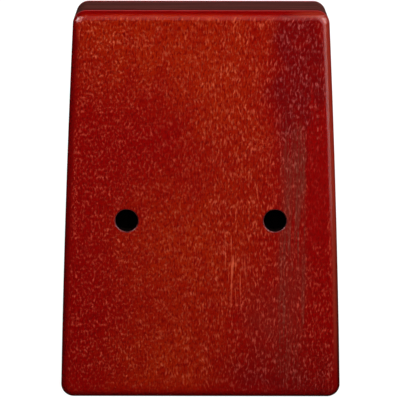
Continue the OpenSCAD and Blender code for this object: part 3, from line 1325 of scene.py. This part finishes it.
class TurnedRule(RuleTree):
    """Turns a profile about its axis and repeats it along a row; stretches may be hexagonal or knurled.

    The profile is a line of points that carry four numbers: reach, height, hexagon and knurl.
    """

    def __init__(self) -> None:
        """Builds the tree."""
        super().__init__("turned_row", {
            "Segments": int, "Knurls": float, "Knurl Depth": float, "Count": int, "First": Vector,
            "Step": Vector, "Turn": Vector, "Seed": int, "Material": bpy.types.Material,
        })
        segments = self.inputs["Segments"]
        circle = self.result("GeometryNodeCurvePrimitiveCircle", {"Resolution": segments, "Radius": 1.0})
        slice_angle = self.math("DIVIDE", 2 * math.pi, segments)
        angle = self.product(self.result("GeometryNodeInputIndex"), slice_angle)
        circle, angle = self.capture(circle, angle)
        profile = self.result("GeometryNodeMeshToCurve", {"Mesh": self.inputs["Geometry"]})
        swept = self.result("GeometryNodeCurveToMesh", {"Curve": circle, "Profile Curve": profile})
        reach = self.shape_reach(angle)
        spot = self.join(self.product(reach, self.math("COSINE", angle)),
                         self.product(reach, self.math("SINE", angle)), self.read("height"))
        solid = self.result("GeometryNodeSetPosition", {"Geometry": swept, "Position": spot})
        solid = self.result("GeometryNodeMergeByDistance", {"Geometry": solid, "Distance": WELD})
        self.close(self.repeat(solid))

    def read(self, name: str) -> Socket:
        """Reads one of the numbers that the profile carries."""
        return self.result("GeometryNodeInputNamedAttribute", {"Name": name}, "Attribute",
                           data_type="FLOAT")

    def shape_reach(self, angle: Feed) -> Socket:
        """Shapes hexagon flats and knurls where the profile asks for them.

        Args:
            angle: Angle about the axis.

        Returns:
            The distance from the axis.
        """
        sixth = math.pi / 3
        off_flat = self.math("SUBTRACT", self.math("MODULO", angle, sixth), sixth / 2)
        corner = self.math("DIVIDE", 1.0, self.math("COSINE", off_flat))
        hexagon = self.math("MULTIPLY_ADD", self.read("hexagon"), self.math("SUBTRACT", corner, 1.0), 1.0)
        wave = self.math("COSINE", self.product(angle, self.inputs["Knurls"]))
        wave = self.math("SUBTRACT", wave, 1.0)
        groove = self.product(wave, self.inputs["Knurl Depth"], self.read("knurl"))
        return self.math("MULTIPLY_ADD", self.read("reach"), hexagon, groove)

    def repeat(self, solid: Feed) -> Socket:
        """Stands copies along the row, each turned about its own axis by chance.

        Args:
            solid: The turned solid.

        Returns:
            The copies.
        """
        source = self.inputs
        line = {"Count": source["Count"], "Offset": source["Step"], "Start Location": source["First"]}
        row = self.result("GeometryNodeMeshLine", line)
        stand = {"Points": row, "Instance": solid, "Rotation": source["Turn"]}
        copies = self.result("GeometryNodeInstanceOnPoints", stand)
        chance = {"Min": 0.0, "Max": math.pi, "Seed": source["Seed"]}
        twist = self.result("FunctionNodeRandomValue", chance, "Value", data_type="FLOAT")
        twisted = {"Instances": copies, "Rotation": self.join(0.0, 0.0, twist)}
        return self.result("GeometryNodeRotateInstances", twisted)


@dataclass(frozen=True)
class ProfilePoint:
    """One point of a turned profile, with the shares of hexagon and knurl there."""

    reach: float
    height: float
    hexagon: float = 0.0
    knurl: float = 0.0


def profile_mesh(rows: Sequence[tuple[float, ...]]) -> bpy.types.Mesh:
    """Makes a line of edges that carries a profile's numbers on its points.

    Args:
        rows: The numbers of each profile point.

    Returns:
        The line.
    """
    points = [ProfilePoint(*row) for row in rows]
    mesh = bpy.data.meshes.new("profile")
    edges = [(i, i + 1) for i in range(len(points) - 1)]
    mesh.from_pydata([(point.reach, 0.0, point.height) for point in points], edges, [])
    for name in ("reach", "height", "hexagon", "knurl"):
        values = [getattr(point, name) for point in points]
        mesh.attributes.new(name, "FLOAT", "POINT").data.foreach_set("value", values)
    return mesh


@dataclass
class Bridge:
    """The clamp on the soundboard: a saddle, two rods, a pressure bar and four screws in inserts."""

    RODS = {"front_rod": "front_bridge_rod", "rear_rod": "rear_bridge_rod"}

    saddle_flare: float = 3 * MM
    saddle_bevel: float = 0.7 * MM
    saddle_bevel_steps: int = 4
    scoop_radius: float = 7 * MM
    scoop_depth: float = 2.5 * MM
    groove_gap: float = 0.02 * MM
    hole_gap: float = 0.2 * MM
    rod_steps: int = 48
    rod_seed: int = 1
    bar_radius: float = 3.25 * MM
    bar_ease: float = 0.35 * MM
    bar_ease_steps: int = 6
    bar_arc_steps: int = 48
    end_chamfer: float = 0.4 * MM
    screw_radius: float = 1.25 * MM
    screw_steps: int = 72
    screw_seed: int = 5
    thread_pitch: float = 0.45 * MM
    thread_depth: float = 0.2 * MM
    head_radius: float = 2.25 * MM
    head_height: float = 2.5 * MM
    head_knurl: float = 0.05 * MM
    knurls: float = 24.0
    socket_radius: float = 1.0 * MM
    socket_depth: float = 1.3 * MM
    insert_radius: float = 2.5 * MM
    insert_knurl: float = 0.08 * MM
    insert_seed: int = 9
    turned: TurnedRule = field(default_factory=TurnedRule)

    def build(self) -> None:
        """Builds and dresses every piece of the bridge."""
        mount(self.saddle(), "saddle_block", "saddle_wood", SADDLE_WOOD)
        for name, node in self.RODS.items():
            mount(self.rod(name, node), node, "rod_steel")
        mount(self.bar(), "pressure_bar", "bar_steel", BAR_STEEL)
        mount(self.screws(), "clamp_screws", "screw_steel")
        mount(self.inserts(), "threaded_inserts", "insert_brass")

    def saddle(self) -> Piece:
        """Builds the saddle: a block with sloping faces, cut for the rods, the scoop and the screws.

        Returns:
            The piece.
        """
        piece = smooth(cast("hardwood_saddle", self.saddle_block()))
        low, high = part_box("saddle_block")
        rod_low, rod_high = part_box("front_bridge_rod")
        length = rod_high.x - rod_low.x
        groove = (rod_high.z - rod_low.z) / 2 + self.groove_gap
        bar_z = middle("pressure_bar").z
        scoop = Vector((0.0, self.saddle_top(bar_z) + self.scoop_radius - self.scoop_depth, bar_z))
        cutters = [drill(middle(node), Axis.ACROSS, groove, length + 2 * self.groove_gap)
                   for node in self.RODS.values()]
        cutters.append(drill(scoop, Axis.ACROSS, self.scoop_radius, length))
        depth = 2 * (high.y - low.y)
        cutters += self.screw_drills(middle("saddle_block").y, middle("clamp_screws").z, depth)
        return carve(piece, cutters)

    def saddle_top(self, z: float) -> float:
        """Finds the saddle's top, which runs through the centres of the rods.

        Args:
            z: Height above the tail.

        Returns:
            Its place through the box.
        """
        front, rear = [middle(node) for node in self.RODS.values()]
        slope = (rear.y - front.y) / (rear.z - front.z)
        return front.y + (z - front.z) * slope

    def saddle_block(self) -> bmesh.types.BMesh:
        """Builds the saddle's block, bevelled except where it is glued.

        Returns:
            The shell of the block.
        """
        low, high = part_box("saddle_block")
        front_z, rear_z = low.z + self.saddle_flare, high.z - self.saddle_flare
        crest = self.saddle_top(front_z)
        block = bmesh.new()
        corners = []
        for z, y in ((low.z, low.y), (front_z, crest), (rear_z, self.saddle_top(rear_z)), (high.z, low.y)):
            half = high.x - self.saddle_flare * (y - low.y) / (crest - low.y)
            corners.append([block.verts.new((x, y, z)) for x in (-half, half)])
        for end in zip(*corners):
            block.faces.new(end)
        for near, far in zip(corners, corners[1:] + corners[:1]):
            block.faces.new((near[0], near[1], far[1], far[0]))
        upper = [edge for edge in block.edges if any(vert.co.y > low.y + WELD for vert in edge.verts)]
        bmesh.ops.bevel(block, geom=upper, offset=self.saddle_bevel, segments=self.saddle_bevel_steps,
                        profile=0.5, affect="EDGES")
        return block

    def screw_drills(self, y: float, z: float, length: float) -> list[Piece]:
        """Makes a cutter for each screw's hole, with its middle at a place through and along the box."""
        radius = self.screw_radius + self.hole_gap
        return [drill(Vector((x, y, z)), Axis.THROUGH, radius, length) for x in screw_places()]

    def rod(self, name: str, node: str) -> Piece:
        """Turns one steel rod with rounded ends.

        Args:
            name: Name of the piece.
            node: The CAD node that it follows.

        Returns:
            The piece.
        """
        low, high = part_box(node)
        radius, half = (high.z - low.z) / 2, (high.x - low.x) / 2
        rows = [(0.0, -half)]
        for across, through in reversed(ease_arc()):
            rows.append((radius - self.end_chamfer * through, -half + self.end_chamfer * across))
        rows += [(reach, -height) for reach, height in reversed(rows)]
        return self.turned.make(name, profile_mesh(rows), {
            "Segments": self.rod_steps, "Knurls": 0.0, "Knurl Depth": 0.0, "Count": 1,
            "First": middle(node), "Step": Vector(), "Turn": Vector((0.0, QUARTER, 0.0)),
            "Seed": self.rod_seed, "Material": ROD_STEEL.material(),
        })

    def bar(self) -> Piece:
        """Builds the pressure bar: round below, flat on top, eased at its edges, drilled for the screws.

        Returns:
            The piece.
        """
        low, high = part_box("pressure_bar")
        centre_y, centre_z = low.y + self.bar_radius, (low.z + high.z) / 2
        section = self.bar_section(high.y - centre_y)
        half = (high.x - low.x) / 2
        shoulder = half - self.end_chamfer
        shrink = 1 - self.end_chamfer / self.bar_radius
        loft = Loft()
        rings = []
        for x, scale in ((-half, shrink), (-shoulder, 1.0), (shoulder, 1.0), (half, shrink)):
            rings.append(loft.ring([(x, centre_y + scale * y, centre_z + scale * z) for y, z in section]))
        loft.bridge(rings)
        loft.cap(rings[0])
        loft.cap(rings[-1])
        return carve(loft.piece("clamp_bar"), self.screw_drills(centre_y, centre_z, 4 * self.bar_radius))

    def bar_section(self, flat: float) -> list[Flat]:
        """Draws the bar's section: an arc below, a flat above and small radii between them.

        Args:
            flat: Distance of the flat from the bar's centre.

        Returns:
            Points in Y and Z about the centre.
        """
        ease = self.bar_ease
        inner = self.bar_radius - ease
        lean = math.acos((flat - ease) / inner)
        corner_y, corner_z = flat - ease, inner * math.sin(lean)
        turns = [lean * step / self.bar_ease_steps for step in range(self.bar_ease_steps + 1)]
        corner = [(corner_y + ease * math.cos(turn), corner_z + ease * math.sin(turn)) for turn in turns]
        sweep = 2 * math.pi - 2 * lean
        turns = [lean + sweep * step / self.bar_arc_steps for step in range(1, self.bar_arc_steps)]
        arc = [(self.bar_radius * math.cos(turn), self.bar_radius * math.sin(turn)) for turn in turns]
        return corner + arc + [(y, -z) for y, z in reversed(corner)]

    def screws(self) -> Piece:
        """Turns the socket screws: threaded shanks, knurled heads and hexagon sockets.

        Returns:
            The piece.
        """
        low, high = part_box("clamp_screws")
        seat = high.y - self.head_height
        tip = low.y - seat
        root = self.screw_radius - self.thread_depth
        rows = [(0.0, tip), (root - self.thread_depth, tip)]
        for turn in range(int(-tip / self.thread_pitch) - 1):
            start = tip + self.thread_depth + turn * self.thread_pitch
            rows += [(root, start), (self.screw_radius, start + self.thread_pitch / 2)]
        head, top, edge = self.head_radius, self.head_height, self.end_chamfer
        socket, floor = self.socket_radius, top - self.socket_depth
        rows += [
            (root, 0.0),
            (head - edge / 2, 0.0),
            (head, edge / 2, 0.0, 1.0),
            (head, top - edge, 0.0, 1.0),
            (head - edge / 3, top - edge / 4),
            (head - edge, top),
            (socket + edge / 2, top),
            (socket, top - edge / 2, 1.0),
            (socket, floor, 1.0),
            (0.0, floor - edge),
        ]
        return self.turned.make("socket_screws", profile_mesh(rows), {
            **self.screw_row(seat), "Knurl Depth": self.head_knurl, "Seed": self.screw_seed,
            "Material": SCREW_STEEL.material(),
        })

    def inserts(self) -> Piece:
        """Turns the brass inserts, knurled outside and bored for the screws.

        Returns:
            The piece.
        """
        low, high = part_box("threaded_inserts")
        length, edge = high.y - low.y, self.end_chamfer
        bore, outer = self.screw_radius + self.groove_gap, self.insert_radius
        rows = [
            (bore, 0.0),
            (outer - edge, 0.0),
            (outer, -edge, 0.0, 1.0),
            (outer, edge - length, 0.0, 1.0),
            (outer - edge, -length),
            (bore, -length),
            (bore, 0.0),
        ]
        return self.turned.make("brass_inserts", profile_mesh(rows), {
            **self.screw_row(high.y), "Knurl Depth": self.insert_knurl, "Seed": self.insert_seed,
            "Material": INSERT_BRASS.material(),
        })

    def screw_row(self, y: float) -> dict[str, object]:
        """Lines turned pieces up with the screws, their axes out of the soundboard.

        Args:
            y: Place of the profile's zero through the box.

        Returns:
            The rule's inputs for the row and its steps.
        """
        places = screw_places()
        return {
            "Segments": self.screw_steps, "Knurls": self.knurls, "Count": len(places),
            "First": Vector((places[0], y, middle("clamp_screws").z)),
            "Step": Vector((places[1] - places[0], 0.0, 0.0)), "Turn": Vector((-QUARTER, 0.0, 0.0)),
        }


class TineRule(RuleTree):
    """Shapes a strip into one tine: a parallel shank, a blade that widens and thins, a curled tip."""

    STATIONS = 96
    EDGE_STEPS = 3
    BODY_SHARE = 0.72
    TIP_TURN = math.radians(84)
    LEAST_HALF = 0.02 * MM
    NUMBERS = ("Length", "Tail", "Shank Width", "Tip Width", "Tip Radius", "Thickness", "Tip Thickness",
               "Edge Radius", "Curl", "Curl Radius", "Rise")

    def __init__(self) -> None:
        """Builds the tree."""
        super().__init__("tine_strip", {
            **{name: float for name in self.NUMBERS}, "Contact": Vector, "Material": bpy.types.Material,
        })
        source = self.inputs
        line = self.result("GeometryNodeCurvePrimitiveLine")
        line = self.result("GeometryNodeResampleCurve", {"Curve": line, "Count": self.STATIONS})
        line, share = self.capture(line, self.result("GeometryNodeSplineParameter", name="Factor"))
        sizes = {"Width": self.product(source["Thickness"], 2.0), "Height": source["Thickness"]}
        section = self.result("GeometryNodeCurvePrimitiveQuadrilateral", sizes)
        rounding = {"Curve": section, "Radius": source["Edge Radius"], "Count": self.EDGE_STEPS,
                    "Limit Radius": True}
        section = self.result("GeometryNodeFilletCurve", rounding, mode="POLY")
        section, spot = self.capture(section, self.result("GeometryNodeInputPosition"), "VECTOR")
        sweep = {"Curve": line, "Profile Curve": section, "Fill Caps": True}
        strip = self.result("GeometryNodeCurveToMesh", sweep)
        bent = {"Geometry": strip, "Position": self.bend(share, spot)}
        strip = self.result("GeometryNodeSetPosition", bent)
        lean = self.join(source["Rise"], 0.0, 0.0)
        seated = {"Geometry": strip, "Translation": source["Contact"], "Rotation": lean}
        self.close(self.result("GeometryNodeTransform", seated))

    def bend(self, share: Feed, spot: Feed) -> Socket:
        """Gives the place of each point of the strip in the tine's own frame.

        Args:
            share: Share of the way from the tail to the tip.
            spot: Place in the section.

        Returns:
            A position with the tine's underside at Y 0 and its tip towards -Z.
        """
        source = self.inputs
        outer = self.math("ADD", source["Curl Radius"], source["Thickness"])
        mean = self.math("MULTIPLY_ADD", source["Thickness"], 0.5, source["Curl Radius"])
        rise = self.math("SINE", source["Curl"])
        straight = self.math("MULTIPLY_ADD", self.product(outer, -1.0), rise, source["Length"])
        tip = self.math("MULTIPLY_ADD", mean, rise, straight)
        body = self.span(share, 0.0, self.BODY_SHARE, change=Change.EVEN)
        turn = self.span(share, self.BODY_SHARE, 1.0, 0.0, self.TIP_TURN, Change.EVEN)
        blade_end = self.math("SUBTRACT", tip, source["Tip Radius"])
        whole = self.math("ADD", blade_end, source["Tail"])
        along = self.math("MULTIPLY_ADD", body, whole, self.product(source["Tail"], -1.0))
        along = self.math("MULTIPLY_ADD", source["Tip Radius"], self.math("SINE", turn), along)
        blade = self.span(along, 0.0, source["Length"], change=Change.EVEN)
        x, through = self.widen(blade, turn, spot)
        past = self.math("MAXIMUM", self.math("SUBTRACT", along, straight), 0.0)
        angle = self.math("ARCSINE", self.math("DIVIDE", past, mean))
        radius = self.math("SUBTRACT", mean, through)
        y = self.math("MULTIPLY_ADD", self.product(radius, -1.0), self.math("COSINE", angle), outer)
        reached = self.math("MINIMUM", along, straight)
        z = self.math("MULTIPLY_ADD", radius, self.math("SINE", angle), reached)
        return self.join(x, y, self.product(z, -1.0))

    def widen(self, blade: Feed, turn: Feed, spot: Feed) -> tuple[Socket, Socket]:
        """Gives the places across and through the strip, for its width and thickness at one station.

        Args:
            blade: Share of the way along the blade.
            turn: Angle round the tip.
            spot: Place in the section, which is twice as wide as it is thick.

        Returns:
            The places across and through.
        """
        source = self.inputs
        width = self.span(blade, 0.0, 1.0, source["Shank Width"], source["Tip Width"], Change.EVEN)
        round_half = self.product(source["Tip Radius"], self.math("COSINE", turn))
        half = self.math("MINIMUM", self.product(width, 0.5), round_half)
        across, height, _ = self.split(spot)
        limit = self.math("SUBTRACT", source["Thickness"], source["Edge Radius"])
        core = self.math("MINIMUM", self.math("MAXIMUM", across, self.product(limit, -1.0)), limit)
        corner = self.math("SUBTRACT", across, core)
        spread = self.math("MAXIMUM", self.math("SUBTRACT", half, source["Edge Radius"]), self.LEAST_HALF)
        x = self.math("MULTIPLY_ADD", self.math("DIVIDE", core, limit), spread, corner)
        thin = self.math("DIVIDE", source["Tip Thickness"], source["Thickness"])
        squeeze = self.span(blade, 0.0, 1.0, 1.0, thin, Change.EVEN)
        return x, self.product(height, squeeze)


@dataclass
class TineRow:
    """Seventeen spring steel tines, each bending from the front rod to its tip."""

    screw_radius: float = 1.25 * MM
    screw_gap: float = 0.25 * MM
    tip_gap: float = 1.4 * MM
    tip_radius: float = 2.7 * MM
    tail: float = 22 * MM
    thickness: float = 1.0 * MM
    tip_thickness: float = 0.85 * MM
    edge_radius: float = 0.2 * MM
    curl: float = math.radians(16)
    curl_radius: float = 22 * MM
    rise: float = math.radians(3)
    bend_share: float = 0.5
    rule: TineRule = field(default_factory=TineRule)

    def build(self) -> None:
        """Builds each tine over its CAD node and hides the node."""
        for joint in frame["joints"]:
            node = joint["child"]
            root = Vector(joint["pos_m"])
            piece = self.tine(f"spring_{node}", root, self.length(node, root))
            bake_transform(piece)
            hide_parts(node)
            log.info("%s bends with %s", piece.name, joint["name"])

    def length(self, node: str, contact: Vector) -> float:
        """Finds a tine's sounding length.

        Args:
            node: The CAD node of the tine.
            contact: Point where the tine bears on the front rod.

        Returns:
            The length from there to the tip.
        """
        lift = (self.curl_radius + self.thickness) * (1 - math.cos(self.curl))
        drop = contact.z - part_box(node)[0].z
        return (drop + lift * math.sin(self.rise)) / math.cos(self.rise)

    def tine(self, name: str, contact: Vector, length: float) -> Piece:
        """Runs the tine rule once.

        Args:
            name: Name of the piece.
            contact: Point where the tine bears on the front rod.
            length: Sounding length.

        Returns:
            The piece.
        """
        pitch = tine_pitch()
        shank = pitch - 2 * (self.screw_radius + self.screw_gap)
        return self.rule.make(name, bpy.data.meshes.new(name), {
            "Length": length, "Tail": self.tail, "Shank Width": shank, "Tip Width": pitch - self.tip_gap,
            "Tip Radius": self.tip_radius, "Thickness": self.thickness,
            "Tip Thickness": self.tip_thickness, "Edge Radius": self.edge_radius, "Curl": self.curl,
            "Curl Radius": self.curl_radius, "Rise": self.rise, "Contact": contact,
            "Material": TINE_STEEL.material(),
        })


def sight(azimuth: float, elevation: float) -> Vector:
    """Gives the direction from the kalimba to a viewer; azimuth 0 is straight behind it, in degrees."""
    turn, lift = math.radians(azimuth), math.radians(elevation)
    return Vector((math.sin(turn) * math.cos(lift), -math.cos(turn) * math.cos(lift), math.sin(lift)))


@dataclass(frozen=True)
class Lamp:
    """A soft panel that faces the kalimba, placed by compass and height as seen from the back."""

    name: str
    azimuth: float
    elevation: float
    distance: float
    width: float
    height: float
    power: float
    use: LampUse = LampUse.FULL

    def build(self, aim: Vector) -> None:
        """Hangs the lamp.

        Args:
            aim: Point that it is turned to.
        """
        data = bpy.data.lights.new(self.name, "AREA")
        data.shape = "RECTANGLE"
        data.size = self.width
        data.size_y = self.height
        data.energy = self.power
        lamp = place(self.name, data)
        away = sight(self.azimuth, self.elevation)
        lamp.location = aim + away * self.distance
        lamp.rotation_euler = (-away).to_track_quat("-Z", "Y").to_euler()
        lamp.visible_camera = False
        lamp.visible_diffuse = self.use is not LampUse.GLOSS
        lamp.visible_glossy = self.use is not LampUse.MATT


@dataclass
class Studio:
    """A pale floor, a white surround, soft lamps and a camera behind the kalimba."""

    camera_azimuth: float = -0.14
    camera_elevation: float = 14.19
    camera_roll: float = 0.124
    camera_distance: float = 0.9793
    camera_aim: Point = (-0.00037, 0.0, 0.09246)
    lens: float = 186.44
    sensor: float = 36.0
    view_end: float = 50.0
    floor_half: float = 15.0
    floor_tone: Colour = (0.12, 0.12, 0.12)
    floor_pale: Colour = (0.95, 0.95, 0.95)
    floor_white: float = 0.9
    floor_glow: float = 1.06
    floor_gloss: float = 0.06
    ambient: float = 0.12
    overhead: Ramp = Ramp(0.1, 0.5, 1.0, 0.06)
    lamps: tuple[Lamp, ...] = (
        Lamp("main panel", 18.0, 38.0, 0.9, 0.72, 0.47, 12.6, LampUse.MATT),
        Lamp("sky panel", 0.0, 23.4, 0.84, 0.9, 0.46, 5.7, LampUse.GLOSS),
        Lamp("left corner panel", -45.0, 25.0, 0.536, 0.42, 0.28, 9.7, LampUse.GLOSS),
        Lamp("left corner core", -54.0, 26.0, 0.541, 0.2, 0.16, 6.0, LampUse.GLOSS),
        Lamp("right corner panel", 50.2, 28.3, 0.537, 0.68, 0.46, 17.6, LampUse.GLOSS),
        Lamp("right corner core", 50.0, 21.5, 0.53, 0.24, 0.24, 8.0, LampUse.GLOSS),
        Lamp("right edge panel", 44.4, 2.0, 0.45, 0.19, 0.1, 1.1, LampUse.GLOSS),
        Lamp("right foot panel", 44.4, -8.0, 0.45, 0.19, 0.07, 0.5, LampUse.GLOSS),
        Lamp("tine panel", 180.0, 26.0, 1.2, 1.4, 0.7, 13.0, LampUse.MATT),
        Lamp("tine gloss panel", 180.0, 26.0, 1.2, 1.4, 0.5, 5.0, LampUse.GLOSS),
        Lamp("right tine panel", 132.0, 25.0, 1.2, 0.4, 0.6, 5.0),
        Lamp("left tine panel", -132.0, 20.0, 1.2, 0.4, 0.6, 4.0),
    )

    def build(self) -> None:
        """Builds the floor, the surround, the lamps and the camera."""
        bpy.context.scene.view_settings.view_transform = "Standard"
        self.lay_floor()
        self.light_surround()
        for lamp in self.lamps:
            lamp.build(Vector(self.camera_aim))
        self.place_camera()

    @staticmethod
    def looks(graph: NodeGraph) -> tuple[Socket, Socket]:
        """Tells kinds of rays apart.

        Args:
            graph: The material or world.

        Returns:
            Two masks: rays from the camera, and rays that mirror or pass through a surface.
        """
        rays = graph.add("ShaderNodeLightPath").outputs
        mirrored = graph.math("MAXIMUM", rays["Is Glossy Ray"], rays["Is Transmission Ray"])
        return rays["Is Camera Ray"], mirrored

    def lay_floor(self) -> None:
        """Lays a pale floor that looks white where no shadow falls."""
        half = self.floor_half
        mesh = bpy.data.meshes.new("floor")
        corners = [(-half, -half, 0), (half, -half, 0), (half, half, 0), (-half, half, 0)]
        mesh.from_pydata(corners, [], [(0, 1, 2, 3)])
        floor = place("floor", mesh)
        material = bpy.data.materials.new("pale floor")
        material.use_nodes = True
        graph = NodeGraph(material.node_tree)
        camera, mirrored = self.looks(graph)
        tone = graph.mix(camera, self.floor_tone, self.floor_pale)
        matt = graph.result("ShaderNodeBsdfDiffuse", {"Color": tone})
        glow = {"Color": rgba(WHITE), "Strength": self.floor_glow}
        white = graph.result("ShaderNodeEmission", glow)
        gloss = graph.product(mirrored, self.floor_gloss)
        share = graph.math("MULTIPLY_ADD", camera, self.floor_white, gloss)
        mixed = graph.result("ShaderNodeMixShader", {0: share, 1: matt, 2: white})
        graph.feed(material.node_tree.nodes["Material Output"].inputs["Surface"], mixed)
        mesh.materials.append(material)

    def light_surround(self) -> None:
        """Makes the surround white to look at, dark overhead in reflections, and dim as a light."""
        world = bpy.data.worlds.new("surround")
        world.use_nodes = True
        bpy.context.scene.world = world
        graph = NodeGraph(world.node_tree)
        height = graph.split(graph.result("ShaderNodeTexCoord", name="Generated"))[2]
        camera, mirrored = self.looks(graph)
        look = graph.math("MAXIMUM", camera, graph.ramp(height, self.overhead))
        seen = graph.math("MAXIMUM", camera, mirrored)
        brighter = graph.math("SUBTRACT", look, self.ambient)
        strength = graph.math("MULTIPLY_ADD", seen, brighter, self.ambient)
        background = world.node_tree.nodes["Background"]
        graph.feed(background.inputs["Color"], rgba(WHITE))
        graph.feed(background.inputs["Strength"], strength)

    def place_camera(self) -> None:
        """Puts the camera behind the kalimba and a little above it."""
        data = bpy.data.cameras.new("camera")
        data.lens = self.lens
        data.sensor_width = self.sensor
        data.clip_end = self.view_end
        camera = place("camera", data)
        away = sight(self.camera_azimuth, self.camera_elevation)
        camera.location = Vector(self.camera_aim) + away * self.camera_distance
        turn = Quaternion((0.0, 0.0, 1.0), math.radians(self.camera_roll))
        camera.rotation_euler = ((-away).to_track_quat("-Z", "Y") @ turn).to_euler()
        bpy.context.scene.camera = camera


def main() -> None:
    """Builds the studio, the box, the bridge and the tines in order."""
    logging.basicConfig(level=logging.INFO, format="%(name)s: %(message)s")
    Studio().build()
    SoundBox().build()
    Bridge().build()
    TineRow().build()


if __name__ == "__main__":
    main()
